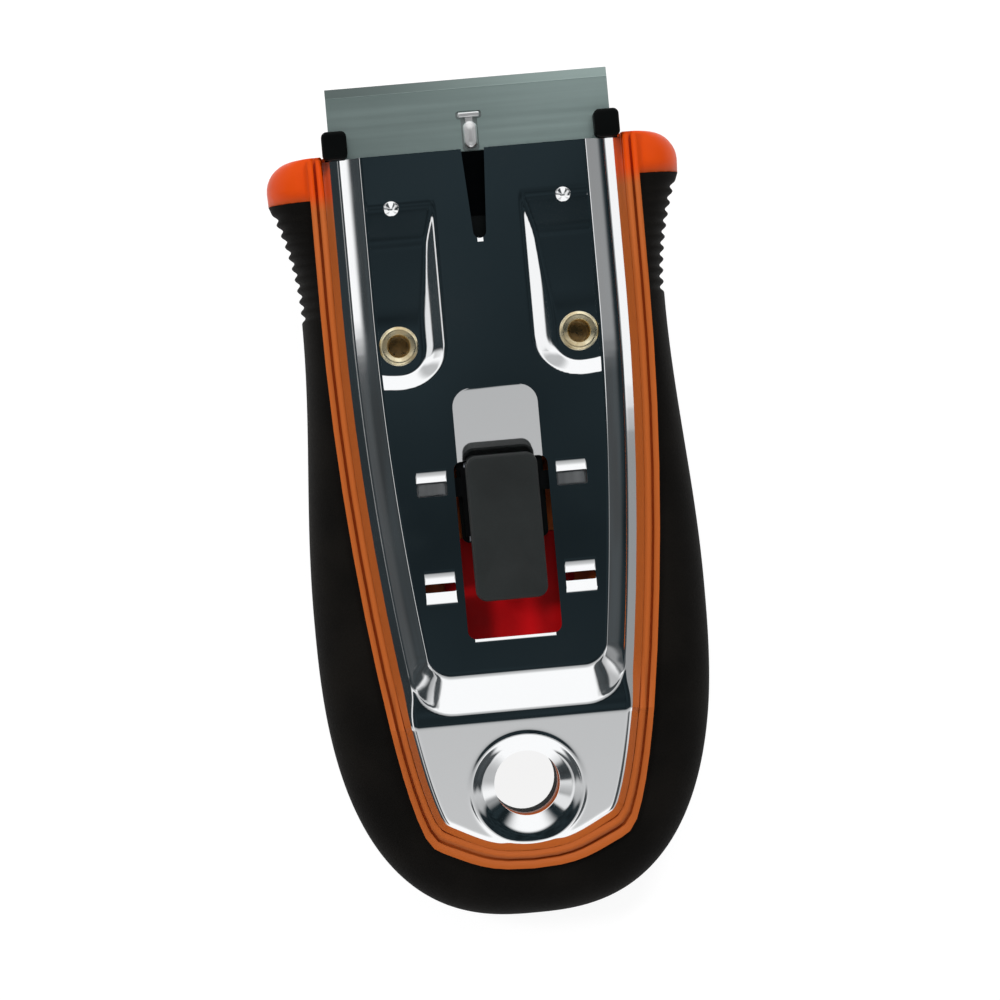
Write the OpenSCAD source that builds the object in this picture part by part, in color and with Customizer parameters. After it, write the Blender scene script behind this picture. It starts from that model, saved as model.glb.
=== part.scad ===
// Safety scraper: a single-edge blade slides out of a handle and locks under a stamped steel cover.
// Millimetres. +Y runs from the tail to the cutting edge, +Z is up through the cover plate.
// The origin is under the middle of the object, on the surface that it rests on.
// Drawn with the blade out and the thumb button up.

/* [Blade] */
// Width of the single-edge blade
blade_width = 39.2; // [38.4:0.1:39.6]
// Depth of the blade from its cutting edge to its back
blade_depth = 19; // [17:0.5:19.5]
// Sheet thickness of the blade
blade_sheet = 0.3; // [0.2:0.05:0.45]

/* [Slide] */
// How far the blade draws back into the handle
blade_travel = 13.5; // [11:0.5:13.5]
// How far the thumb button presses down
button_travel = 0.8; // [0.4:0.1:0.8]
// Sheet thickness of the steel carrier
carrier_sheet = 1.5; // [1.2:0.1:1.8]
// Gap left between a sliding piece and the piece that it slides on
slide_gap = 0.1; // [0.05:0.05:0.2]

/* [Cover plate] */
// Sheet thickness of the cover
plate_sheet = 0.9; // [0.7:0.1:1.1]
// Height of the raised panel over the flange
panel_rise = 2.2; // [2:0.1:2.8]
// Width of the thumb slot
slot_width = 13; // [11.6:0.2:13.4]
// Downward tilt of the tail flange in degrees
tail_tilt = 11; // [6:1:13]
// Radius of the hanging hole
hang_radius = 4.6; // [3.6:0.1:4.8]
// Outer radius of the dish round the hanging hole
dish_radius = 7.9; // [7.2:0.1:8.4]

/* [Handle] */
// Thickness of the soft grip outside the rim at its waist
waist_rubber = 2.65; // [2.2:0.05:5]
// Thickness of the soft grip outside the rim at its hips
hip_rubber = 7.05; // [5.5:0.05:9.5]
// How far each horn stands out past the waist
horn_flare = 3.3; // [1:0.1:4]
// How far the underside rises towards the blade
nose_rise = 7; // [4:0.5:8]
// Height of the orange rim over the cover's flange
rim_rise = 0.6; // [0.3:0.1:1]
// Spacing of the finger ribs
rib_pitch = 1.55; // [1.4:0.05:2]
// Depth of the finger ribs
rib_depth = 0.5; // [0.2:0.1:0.7]

/* [Fixings] */
// Radius of a rivet's shank
rivet_radius = 2; // [1.8:0.1:2.1]
// Radius of a guide pin
pin_radius = 1; // [0.8:0.1:1.1]

/* [Hidden] */
$fn = 48;

// Clearances: a fixed piece beside another, a sliding piece's sides, a pin in its guide hole
fit_gap = 0.15;
side_gap = 0.3;
pin_gap = 0.06;
stake_gap = 0.02;

// Heights, from the floor of the slide channel up
deck_top = 15.9;
carrier_under = deck_top + slide_gap;
carrier_top = carrier_under + carrier_sheet;
blade_top = carrier_top + blade_sheet;
seat_top = blade_top + 2 * slide_gap;
flange_top = seat_top + plate_sheet;
panel_top = flange_top + panel_rise;
panel_under = panel_top - plate_sheet;
rim_top = flange_top + rim_rise;
well_depth = 1.2;
well_floor = panel_top - well_depth;
grip_top = flange_top - 0.1;
core_under = 8;
rivet_seat = 12;

// Lengths along the tool
edge_y = 58.5;
tail_y = -58.5;
nose_y = 49.2;
plate_front = 48.5;
horn_back = 43.3;
horn_y = 43.5;
waist_y = 26.5;
hip_y = -14.5;
rim_tail = -52;
bend_y = -30.6;
hang_y = -40.1;
dish_depth = 1.3;
dish_lip = 0.7;
dish_lip_drop = 0.2;
bore_y = bend_y + (hang_y - bend_y) * cos(tail_tilt) + dish_depth * sin(tail_tilt);
rim_straight = 28.5;
past_front = 10;
cavity_front = 13.5;

// Thumb button, lock bar and the slot that they run in
stem_front = 5.2;
stem_back = -5.2;
stem_half = 4.6;
cap_half = 5;
cap_front = stem_front + 0.3;
cap_back = -13.9;
slot_front = stem_front + 0.4;
slot_back = stem_back - blade_travel - side_gap;
lock_y = 2.1;
lug_x = 9.7;
window_half = 2.1;
window_depth = 2;
lug_length = 3.6;
lug_depth = 1.5;
bar_half = 11.8;
bar_sheet = 0.8;
bar_under = carrier_top + button_travel + 0.3;
bar_top = bar_under + bar_sheet;
lug_top = panel_under - 0.15;
cap_under = panel_top + button_travel + 0.2;
cap_top = cap_under + 3;
pins_y = [2.9, -2.9];

// Carrier
carrier_half = 18;
carrier_front = edge_y - 4.2;
carrier_back = edge_y - 18.8;
neck_half = 6;
neck_back = stem_back - 0.5;
stud_y = edge_y - 7.9;
channel_back = carrier_back - blade_travel - 0.8;
rivet_y = channel_back - 3.2;
neck_fillet = 1;

cavity_half = bar_half + 0.8;
cavity_back = neck_back - blade_travel - 1.2;
blade_channel = blade_width / 2 + side_gap;
shoe_outer = blade_channel + 0.85;
shoe_front = plate_front + 4;
shoe_lip = 2.75;
tongue_front = shoe_front - 0.8;
tongue_back = plate_front - 5;

// Widths, out from the blade: the rim's wall, how far the rim draws in by the hips, the grip
rim_wall = 2.1;
rim_front_half = shoe_outer + rim_wall;
rim_taper = 2.4;
waist_half = rim_front_half + waist_rubber;
hip_half = rim_front_half - rim_taper + hip_rubber;
rivet_x = rim_front_half - 10.35;
dimple_x = rim_front_half - 10.95;
dimple_y = 41;

// Red strip in the floor of the slot
flag_half = 9;
flag_front = -5;
flag_sheet = 1.6;
flag_back = cavity_back + 0.5;
flag_gap = 0.1;

// Points on an arc, and a rectangle with rounded corners
function arc(x, y, r, from, to, steps = 6) =
    [for (i = [0 : steps]) let (a = from + (to - from) * i / steps) [x + r * cos(a), y + r * sin(a)]];
function rounded(x0, y0, x1, y1, r) = concat(
    arc(x1 - r, y1 - r, r, 0, 90),
    arc(x0 + r, y1 - r, r, 90, 180),
    arc(x0 + r, y0 + r, r, 180, 270),
    arc(x1 - r, y0 + r, r, 270, 360)
);
function mirrored(points) = [for (i = [len(points) - 1 : -1 : 0]) [-points[i][0], points[i][1]]];

// Half width of the orange rim, and of the grip in front of the hips
function rim_half(y) =
    rim_front_half - rim_taper * pow(max(0, rim_straight - y) / (rim_straight - hip_y), 2);
function flare_at(y) = horn_flare * pow(min(1, (y - waist_y) / (horn_y - waist_y)), 2);
function hip_blend(y) = (1 - cos(180 * (waist_y - y) / (waist_y - hip_y))) / 2;
function flank_half(y) = y > waist_y
    ? waist_half + flare_at(y)
    : waist_half + (hip_half - waist_half) * hip_blend(y);

// The two ends of a tail curve get closer points, where it turns
function turn(s) = s < 0.5 ? 180 * s * s : 90 - 180 * pow(1 - s, 2);

// One point of the rim's tail, drawn in by inset, at s from 0 at the hips to 1 at the tail's middle
function rim_tail_point(s, inset) =
    let (y = hip_y - (hip_y - rim_tail - inset) * pow(sin(turn(s)), 2 / 6.5))
    [(rim_half(y) - inset) * pow(cos(turn(s)), 2 / 6.5), y];
function grip_tail_point(s) =
    [hip_half * pow(cos(90 * s), 2 / 2.6), hip_y - (hip_y - tail_y) * pow(sin(90 * s), 2 / 2.6)];

// Half width of the rim behind the hips, by the same curve
function rim_tail_half(y, inset) =
    (rim_half(y) - inset) * pow(1 - pow((hip_y - y) / (hip_y - rim_tail - inset), 6.5), 1 / 6.5);

// The rim outline, drawn in by inset: its level stretch from front to the bend, and the tail behind it
function rim_level(inset, front) = concat(
    [[rim_half(front) - inset, front]],
    [for (i = [0 : 5]) let (y = rim_straight + (hip_y - rim_straight) * i / 5) [rim_half(y) - inset, y]],
    [for (y = [-22.5, bend_y]) [rim_tail_half(y, inset), y]]
);
function rim_end(inset) = [for (i = [3 : 16]) rim_tail_point(i / 16, inset)];
module rim_outline(inset, front) {
    right = concat(rim_level(inset, front), rim_end(inset));
    polygon(concat(right, mirrored([for (i = [0 : len(right) - 2]) right[i]])));
}
module level_outline(inset, front) {
    right = rim_level(inset, front);
    polygon(concat(right, mirrored(right)));
}
module tail_outline(inset, lap) {
    corner = rim_tail_half(bend_y, inset);
    right = concat(lap > 0 ? [[corner, bend_y + lap]] : [], [[corner, bend_y]], rim_end(inset));
    polygon(concat(right, mirrored([for (i = [0 : len(right) - 2]) right[i]])));
}

// The cover sits inside the rim
plate_inset = 2.05;
function plate_half(y) = rim_half(y) - plate_inset;

// The raised panel: how far its foot and its crest lie inside the cover's edge, and its rear slope
panel_foot = 2.5;
panel_crest = 3.6;
panel_back = -29;
slope_length = 6.4;

// Outline of the raised panel, drawn in by inset from the cover's edge
module panel_outline(inset, front, back, corner) {
    turn_y = back + corner;
    sides = [for (i = [0 : 8])
        let (y = rim_straight + (turn_y - rim_straight) * i / 8) [plate_half(y) - inset, y]];
    turn_x = plate_half(turn_y) - inset - corner;
    right = concat(
        [[plate_half(front) - inset, front]],
        sides,
        arc(turn_x, turn_y, corner, -15, -90, 5)
    );
    polygon(concat(right, mirrored(right)));
}

module both_sides() {
    children();
    mirror([1, 0, 0]) children();
}

// Turns what lies on the flange into what lies on the tilted tail
module on_tail() {
    translate([0, bend_y, flange_top])
        rotate([tail_tilt, 0, 0])
            translate([0, -bend_y, -flange_top])
                children();
}

// The rim outline extruded from z up, level in front of the bend and tilted behind it.
// lap carries the tilted half forward over the bend. That half is a hair narrower, so that
// the corners of the two halves stay clear of each other at the bend.
module bent_slab(z, height, inset, front, lap = 0) {
    translate([0, 0, z]) linear_extrude(height) level_outline(inset, front);
    on_tail() translate([0, 0, z]) linear_extrude(height) tail_outline(inset + 0.03, lap);
}

// Stations down the handle's right side: [rim point, side point, rib valley]
function corner_station(a) =
    let (y = nose_y - 4 + 4 * sin(a))
    [[rim_half(y) - 1, y], [waist_half + horn_flare - 4 + 4 * cos(a), y], 0];
function side_station(y, valley) = [[rim_half(y) - 1, y], [flank_half(y), y], valley];
rib_count = floor((horn_back - 1 - waist_y) / rib_pitch);
horn_stations = concat(
    [for (i = [0 : 9]) corner_station(90 - 10 * i)],
    [side_station(horn_back, 0)]
);
grip_stations = concat(
    [side_station(horn_back, 0)],
    [for (i = [0 : 2 * rib_count]) side_station(horn_back - 1 - i * rib_pitch / 2, i % 2)],
    [for (i = [1 : 10]) side_station(waist_y + (hip_y - waist_y) * i / 10 - 0.8 * (1 - i / 10), 0)],
    [for (i = [1 : 18]) [rim_tail_point(i / 18, 1), grip_tail_point(i / 18), 0]]
);

// Heights of the underside, the widest line and the top of the grip
function under_z(y) = nose_rise * pow(max(0, (y - 20.5) / (nose_y - 20.5)), 2);
function top_z(y) = grip_top - max(0, bend_y - y) * tan(tail_tilt);
function wide_z(y) = under_z(y) + 0.55 * (top_z(y) - under_z(y));

// A quarter ellipse from the rim out to the widest line, then one in to the underside
under_inset = 6;
upper_steps = 6;
lower_steps = 5;
rings = upper_steps + lower_steps + 1;
function rib_share(k) = sin(180 * k / (rings - 1));
function ring_point(s, k) =
    let (
        rim = s[0],
        side = s[1],
        inward = (rim - side) / norm(rim - side),
        upper = 90 * k / upper_steps,
        lower = 90 * (k - upper_steps) / lower_steps,
        flat = k <= upper_steps
            ? rim + (side - rim) * sin(upper)
            : side + inward * under_inset * (1 - cos(lower)),
        y = s[1][1],
        z = k <= upper_steps
            ? wide_z(y) + (top_z(rim[1]) - wide_z(y)) * cos(upper)
            : wide_z(y) - (wide_z(y) - under_z(y)) * sin(lower),
        rib = inward * rib_depth * s[2] * rib_share(k)
    )
    [flat[0] + rib[0], flat[1] + rib[1], z];

// The handle's outer form along the stations and their mirror image.
// It closes flat at both ends, or in the tail's middle if the last station lies there.
module handle_form(right) {
    ends = len(right) - 1;
    joined = abs(right[ends][1][0]) < 0.001;
    left = [for (i = [joined ? ends - 1 : ends : -1 : 0])
        let (s = right[i]) [[-s[0][0], s[0][1]], [-s[1][0], s[1][1]], s[2]]];
    around = concat(right, left);
    count = len(around);
    last = rings - 1;
    points = [for (s = around) for (k = [0 : last]) ring_point(s, k)];
    skin = [
        for (i = [0 : count - 2]) for (k = [0 : last - 1])
            let (a = i * rings + k, b = a + rings)
            each joined || i != ends ? [[a, b + 1, b], [a, a + 1, b + 1]] : []
    ];
    caps = [
        for (i = [0 : ends - 1])
            let (a = i * rings, b = a + rings, c = (count - 2 - i) * rings, d = c + rings)
            each b == c
                ? [[a, b, d], [a + last, d + last, b + last]]
                : [[a, b, c], [a, c, d], [a + last, c + last, b + last], [a + last, d + last, c + last]]
    ];
    nose = [concat(
        [for (k = [last : -1 : 0]) k],
        [for (k = [0 : last]) (count - 1) * rings + k]
    )];
    back = joined ? [] : [concat(
        [for (k = [0 : last]) ends * rings + k],
        [for (k = [last : -1 : 0]) (ends + 1) * rings + k]
    )];
    polyhedron(points, concat(skin, caps, nose, back));
}

// What the core takes up of the handle's form
module core_space() {
    translate([0, 0, core_under]) linear_extrude(40) rim_outline(0, horn_back + 1);
}
module hang_bore() {
    translate([0, bore_y, -5]) cylinder(r = hang_radius, h = 40);
}
module rivet_recesses() {
    both_sides() translate([rivet_x, rivet_y, -5]) cylinder(r = 3.8, h = rivet_seat + 5);
}

// The dish round the hanging hole, as an outline to spin, and the room that it needs in the core.
// The hole itself goes straight down through the dish, the core and the grip.
module dish_profile() {
    inner = hang_radius - 0.8;
    inner_drop = dish_depth + 0.35;
    polygon([
        [dish_radius + 0.9, 0],
        [dish_radius, 0],
        [dish_radius - dish_lip, -dish_lip_drop],
        [hang_radius, -dish_depth],
        [inner, -inner_drop],
        [inner, -inner_drop - plate_sheet],
        [hang_radius, -dish_depth - plate_sheet],
        [dish_radius - dish_lip, -dish_lip_drop - plate_sheet],
        [dish_radius + 0.9, -plate_sheet]
    ]);
}
module dish_room() {
    floor_drop = dish_depth + plate_sheet + 0.5;
    polygon([
        [0, 1],
        [0, -floor_drop],
        [hang_radius, -floor_drop],
        [dish_radius - dish_lip, -dish_lip_drop - plate_sheet - 0.15],
        [dish_radius + 1, -plate_sheet - 0.1],
        [dish_radius + 1, 1]
    ]);
}

// Room inside the core for everything that slides
module slide_room() {
    height = 12;
    translate([-blade_channel, channel_back, deck_top]) cube([2 * blade_channel, 60, height]);
    translate([-neck_half - side_gap, cavity_front - 1, deck_top])
        cube([2 * (neck_half + side_gap), channel_back - cavity_front + 2, height]);
    translate([0, 0, deck_top])
        linear_extrude(height)
            polygon(rounded(-cavity_half, cavity_back, cavity_half, cavity_front, 1.5));
    both_sides()
        translate([blade_channel - 1, horn_back - 0.4, deck_top])
            cube([
                shoe_outer + 0.1 - blade_channel + 1,
                past_front + nose_y - horn_back,
                seat_top - deck_top + 0.01
            ]);
}

module handle_core() {
    color([1, 0.4, 0.07])
    difference() {
        union() {
            translate([0, 0, core_under])
                linear_extrude(rim_top - core_under) rim_outline(0, nose_y - 0.4);
            handle_form(horn_stations);
        }
        // Everything over the tilted tail
        on_tail() translate([-60, bend_y - 60, rim_top]) cube([120, 63, 30]);
        // Seat of the cover plate, and the fine groove in the rim
        difference() {
            bent_slab(seat_top, 30, plate_inset - fit_gap, nose_y + past_front, 3);
            both_sides() translate([rivet_x, rivet_y, 0]) cylinder(r = 4, h = well_floor - plate_sheet);
        }
        difference() {
            bent_slab(rim_top - 0.8, 5, 0.75, nose_y + past_front, 1);
            bent_slab(rim_top - 5, 30, 1.15, nose_y + past_front + 1, 1);
        }
        slide_room();
        // Pocket of the red strip
        translate([-flag_half - flag_gap, flag_back - flag_gap, deck_top - flag_sheet])
            cube([2 * (flag_half + flag_gap), flag_front - flag_back + 2 * flag_gap, flag_sheet + 4]);
        // Rivets and the hanging hole
        rivet_recesses();
        both_sides()
            translate([rivet_x, rivet_y, 0]) cylinder(r = rivet_radius + 0.1, h = 40);
        hang_bore();
        on_tail() translate([0, hang_y, flange_top]) rotate_extrude() dish_room();
    }
}

module soft_grip() {
    color([0.05, 0.05, 0.055])
    difference() {
        handle_form(grip_stations);
        core_space();
        rivet_recesses();
        hang_bore();
    }
}

// A well pressed into the panel round a rivet: a sloped wall inside and behind, a ramp to the front,
// and a steep outer side along the panel's crest.
// skin makes the larger form under it, whose top ends inside the panel's sheet.
well_radius = 3.7;
well_wall = 2.2;
well_front = rivet_y + 14.3;
module well_form(skin) {
    grow = 0.6 * skin;
    height = skin > 0 ? well_depth + skin / 2 : well_depth + 0.5;
    spread = well_wall * height / well_depth;
    end_radius = 4;
    side = panel_crest + 0.25 - grow;
    intersection() {
        hull()
            for (x = [rivet_x, rivet_x + 4]) {
                translate([x, rivet_y, well_floor - skin])
                    cylinder(r1 = well_radius + grow, r2 = well_radius + grow + spread, h = height, $fn = 32);
                translate([x, well_front - end_radius, panel_top - skin])
                    cylinder(r = end_radius + grow, h = height - well_depth, $fn = 32);
            }
        linear_extrude(40) panel_outline(side, plate_front, 0, 3);
    }
}

// The scoop that leads the thumb down into the slot
scoop_front = 15.4;
scoop_drop = panel_rise - 0.2;
module scoop_form(skin) {
    half = 5.75 + skin;
    back = skin > 0 ? slot_front + 0.2 : slot_front - 5;
    intersection() {
        translate([0, 0, flange_top - 3])
            linear_extrude(panel_rise + 3 + (skin > 0 ? -0.3 : 1))
                polygon(concat(
                    [[half, back]],
                    arc(half - 3, scoop_front + skin - 3, 3, 0, 90),
                    arc(3 - half, scoop_front + skin - 3, 3, 90, 180),
                    [[-half, back]]
                ));
        translate([-20, scoop_front, panel_top - skin])
            rotate([atan(scoop_drop / (scoop_front - slot_front)), 0, 0])
                translate([0, -20, 0])
                    cube([40, 40, 20]);
    }
}

// A slope that leads down to a lock window, in front of it or, with a negative length, behind it
module window_lip(y, length) {
    way = sign(length);
    drop = 0.6 * abs(length);
    translate([lug_x - window_half, y, panel_top])
        rotate([90, 0, 90])
            linear_extrude(2 * window_half)
                polygon([
                    [0, 0.5],
                    [0, -drop],
                    [way * window_depth / 2, -drop],
                    [way * window_depth / 2 + length, 0],
                    [way * window_depth / 2 + length, 0.5]
                ]);
}

module cover_plate() {
    color([0.8, 0.82, 0.84])
    difference() {
        union() {
            difference() {
                union() {
                    bent_slab(seat_top, plate_sheet, plate_inset, plate_front);
                    // Outside of the raised panel
                    hull() {
                        translate([0, 0, seat_top + 0.2])
                            linear_extrude(plate_sheet - 0.2)
                                panel_outline(panel_foot, plate_front, panel_back, 3.5);
                        translate([0, 0, panel_top - 0.05])
                            linear_extrude(0.05)
                                panel_outline(panel_crest, plate_front, panel_back + slope_length, 3);
                    }
                }
                // Hollow under it
                hull() {
                    translate([0, 0, seat_top - 0.1])
                        linear_extrude(0.1)
                            panel_outline(panel_foot + 0.5, nose_y + past_front, panel_back + 0.7, 3.2);
                    translate([0, 0, panel_under - 0.05])
                        linear_extrude(0.05)
                            panel_outline(
                                panel_crest + 0.5, nose_y + past_front, panel_back + slope_length - 0.3, 2.8
                            );
                }
                on_tail() translate([0, hang_y, 0]) cylinder(r = dish_radius + 0.5, h = 40);
            }
            on_tail() translate([0, hang_y, flange_top]) rotate_extrude() dish_profile();
            both_sides() well_form(plate_sheet);
            scoop_form(plate_sheet);
            both_sides()
                intersection() {
                    translate([dimple_x, dimple_y, panel_top + 1.1]) sphere(r = 1.6 + plate_sheet);
                    translate([dimple_x - 5, dimple_y - 5, panel_under - 2]) cube([10, 10, 2.4]);
                }
        }
        both_sides() well_form(0);
        scoop_form(0);
        // Guide dimples
        both_sides() translate([dimple_x, dimple_y, panel_top - 0.7]) cylinder(r1 = 0, r2 = 1.9, h = 1.2);
        // Thumb slot
        translate([0, 0, 10])
            linear_extrude(30) polygon(rounded(-slot_width / 2, slot_back, slot_width / 2, slot_front, 1.2));
        // Lock windows for the blade out and the blade in
        both_sides()
            for (y = [lock_y, lock_y - blade_travel])
                translate([lug_x - window_half, y - window_depth / 2, 10])
                    cube([2 * window_half, window_depth, 30]);
        // Coined lips: in front of the first pair, behind and in front of the second
        both_sides() {
            window_lip(lock_y, 0.9);
            window_lip(lock_y - blade_travel, 0.5);
            window_lip(lock_y - blade_travel, -0.9);
        }
        // Notch over the key stud
        translate([0, 0, 10])
            linear_extrude(30)
                polygon(concat(
                    [[1.6, plate_front + 5], [1.6, plate_front]],
                    arc(0, 37, 0.9, 0, -180, 8),
                    [[-1.6, plate_front], [-1.6, plate_front + 5]]
                ));
        both_sides() translate([rivet_x, rivet_y, 0]) cylinder(r = rivet_radius + 0.1, h = 40);
        hang_bore();
    }
}

// A rivet's section: flat head below, hollow shank, rim rolled out over the cover
module rivet() {
    bore = rivet_radius - 0.6;
    bore_depth = 4;
    head = rivet_radius + 1.1;
    head_sheet = 0.9;
    roll = 0.45;
    color([0.76, 0.62, 0.36])
    translate([rivet_x, rivet_y, 0])
        rotate_extrude()
            polygon(concat(
                [[0, rivet_seat - head_sheet], [head, rivet_seat - head_sheet], [head, rivet_seat]],
                [[rivet_radius, rivet_seat], [rivet_radius, well_floor]],
                arc(rivet_radius + 0.25, well_floor + roll, roll, -90, 90, 8),
                [[bore + 0.4, well_floor + 2 * roll], [bore, well_floor + roll]],
                [[bore, well_floor - bore_depth], [0, well_floor - bore_depth]]
            ));
}
module rivet_right() {
    rivet();
}
module rivet_left() {
    mirror([1, 0, 0]) rivet();
}

// A guide over the blade's corner, held by a tongue in the core's side
module guide_shoe() {
    color([0.06, 0.06, 0.065])
    union() {
        translate([0, 0, seat_top])
            linear_extrude(panel_top - 0.4 - seat_top)
                polygon(rounded(
                    blade_channel - shoe_lip, plate_front + 0.1, shoe_outer - 0.1, shoe_front, 0.8
                ));
        translate([blade_channel + 0.05, tongue_back, carrier_under])
            cube([
                shoe_outer - blade_channel - 0.05,
                plate_front + 0.1 - tongue_back,
                seat_top - carrier_under - 0.05
            ]);
        translate([blade_channel + 0.05, plate_front, carrier_under])
            cube([
                shoe_outer - blade_channel - 0.15,
                tongue_front - plate_front,
                seat_top - carrier_under + 0.5
            ]);
    }
}
module guide_shoe_right() {
    guide_shoe();
}
module guide_shoe_left() {
    mirror([1, 0, 0]) guide_shoe();
}

module red_flag() {
    color([0.75, 0.02, 0.04])
    translate([-flag_half, flag_back, deck_top - flag_sheet])
        cube([2 * flag_half, flag_front - flag_back, flag_sheet]);
}

// Flat steel carrier: a wide shoe under the blade and a neck back to the button
module blade_carrier() {
    right = concat(
        arc(carrier_half - 2, carrier_front - 2, 2, 90, 0),
        arc(carrier_half - 1.5, carrier_back + 1.5, 1.5, 0, -90),
        arc(neck_half + neck_fillet, carrier_back - neck_fillet, neck_fillet, 90, 180),
        arc(neck_half - 1, neck_back + 1, 1, 0, -90)
    );
    color([0.62, 0.63, 0.64])
    difference() {
        translate([0, 0, carrier_under])
            linear_extrude(carrier_sheet) polygon(concat(right, mirrored(right)));
        // Bevel under the front edge
        translate([-30, carrier_front - 2, carrier_under])
            rotate([25, 0, 0]) translate([0, 0, -5]) cube([60, 9, 5]);
        for (y = pins_y)
            translate([0, y, 10]) cylinder(r = pin_radius + stake_gap, h = 10);
        translate([0, stud_y, 10]) cylinder(r = 0.8 + stake_gap, h = 10);
    }
}

// A stud with a long head and a cross bar that key into the blade, staked through the carrier
module key_stud() {
    color([0.85, 0.86, 0.87])
    translate([0, stud_y, 0])
        union() {
            translate([0, 0, carrier_under]) cylinder(r = 0.8, h = carrier_sheet + 0.5);
            translate([0, 0, carrier_top])
                linear_extrude(blade_sheet + 1.3) polygon(rounded(-0.95, -1.9, 0.95, 1.9, 0.94));
            translate([-0.5, 1.2, carrier_top]) cube([1, 1.6, blade_sheet + 0.2]);
            translate([-1.5, 2.5, carrier_top]) cube([3, 0.7, blade_sheet + 0.5]);
        }
}

module blade() {
    half = blade_width / 2;
    color([0.72, 0.75, 0.76])
    difference() {
        translate([-half, edge_y - blade_depth, carrier_top]) cube([blade_width, blade_depth, blade_sheet]);
        // Ground edge
        translate([-30, edge_y - 1.3, blade_top])
            rotate([-atan((blade_sheet - 0.05) / 1.3), 0, 0]) cube([60, 5, 2]);
        // Key slot, wider across its front
        translate([0, 0, carrier_top - 1])
            linear_extrude(3)
                union() {
                    polygon(rounded(-1.15, stud_y - 2.2, 1.15, stud_y + 2.6, 0.5));
                    polygon(rounded(-1.8, stud_y + 2.3, 1.8, stud_y + 3.4, 0.4));
                }
    }
}

module guide_pin(y) {
    color([0.7, 0.71, 0.72])
    translate([0, y, carrier_under]) cylinder(r = pin_radius, h = bar_top + 1.3 - carrier_under);
}
module guide_pin_front() {
    guide_pin(pins_y[0]);
}
module guide_pin_rear() {
    guide_pin(pins_y[1]);
}

// A bowed strip with a long slot for the pins
module lock_spring() {
    leaf = 0.25;
    half = 5.4;
    slot_half = half - 0.6;
    bow = bar_under - carrier_top - leaf - 0.03;
    radius = (half * half + bow * bow) / (2 * bow);
    reach = asin(half / radius);
    middle_y = (pins_y[0] + pins_y[1]) / 2;
    color([0.5, 0.52, 0.55])
    difference() {
        translate([-5, middle_y, carrier_top + bow - radius])
            rotate([90, 0, 90])
                linear_extrude(10)
                    polygon(concat(
                        arc(0, 0, radius, 90 - reach, 90 + reach, 16),
                        arc(0, 0, radius + leaf, 90 + reach, 90 - reach, 16)
                    ));
        translate([-pin_radius - 0.5, middle_y - slot_half, carrier_top - 1])
            cube([2 * pin_radius + 1, 2 * slot_half, 5]);
    }
}

// Cross bar under the cover, with a lug for each pair of windows
module lock_bar() {
    color([0.55, 0.56, 0.58])
    difference() {
        union() {
            translate([-5.5, stem_back + 0.4, bar_under]) cube([11, stem_front - stem_back - 0.8, bar_sheet]);
            translate([-bar_half, lock_y - 1.3, bar_under]) cube([2 * bar_half, 2.6, bar_sheet]);
            both_sides()
                translate([lug_x - lug_length / 2, lock_y - lug_depth / 2, bar_under])
                    cube([lug_length, lug_depth, lug_top - bar_under]);
        }
        for (y = pins_y)
            translate([0, y, 10]) cylinder(r = pin_radius + pin_gap, h = 15);
        both_sides() translate([3.4, -1.4, 10]) cylinder(r = 0.9 + stake_gap, h = 15);
    }
}

// Thumb button: a stem in the slot under a longer cap with a shallow thumb hollow
module thumb_button() {
    edge = 0.4;
    hollow_radius = 40;
    hollow_depth = 0.7;
    color([0.17, 0.18, 0.18])
    difference() {
        union() {
            translate([0, 0, bar_top])
                linear_extrude(cap_under - bar_top + 0.5)
                    polygon(rounded(-stem_half, stem_back, stem_half, stem_front, 1));
            hull() {
                translate([0, 0, cap_under])
                    linear_extrude(0.8)
                        polygon(rounded(-cap_half, cap_back, cap_half, cap_front, 1.6));
                translate([0, 0, cap_top - 0.5])
                    linear_extrude(0.5)
                        polygon(rounded(
                            -cap_half + edge, cap_back + edge, cap_half - edge, cap_front - edge, 1.2
                        ));
            }
            both_sides() translate([3.4, -1.4, bar_under]) cylinder(r = 0.9, h = bar_sheet + 0.5);
        }
        translate([-2 * cap_half, (cap_front + cap_back) / 2, cap_top + hollow_radius - hollow_depth])
            rotate([0, 90, 0]) cylinder(r = hollow_radius, h = 4 * cap_half, $fn = 96);
        for (y = pins_y)
            translate([0, y, bar_top - 1]) cylinder(r = pin_radius + 0.3, h = 1 + 1.3 + button_travel + 0.3);
    }
}

handle_core();
soft_grip();
cover_plate();
rivet_right();
rivet_left();
guide_shoe_right();
guide_shoe_left();
red_flag();
blade_carrier();
key_stud();
blade();
guide_pin_front();
guide_pin_rear();
lock_spring();
lock_bar();
thumb_button();
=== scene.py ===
# %% [markdown]
# # A safety scraper, dressed for the camera
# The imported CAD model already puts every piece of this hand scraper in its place: an orange
# plastic core with a black rubber grip round it, a bright stamped steel cover riveted on top,
# and a slide that carries the blade. This script keeps that frame fixed and gives it looks.
# Pieces whose CAD form is right only get a finish. Pieces that need rolled edges, swept walls or
# fine ribs are worked out again as smooth surfaces with numpy, in the same place.

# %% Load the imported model
import math

import bmesh
import bpy
import numpy as np
from mathutils import Matrix, Vector


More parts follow.
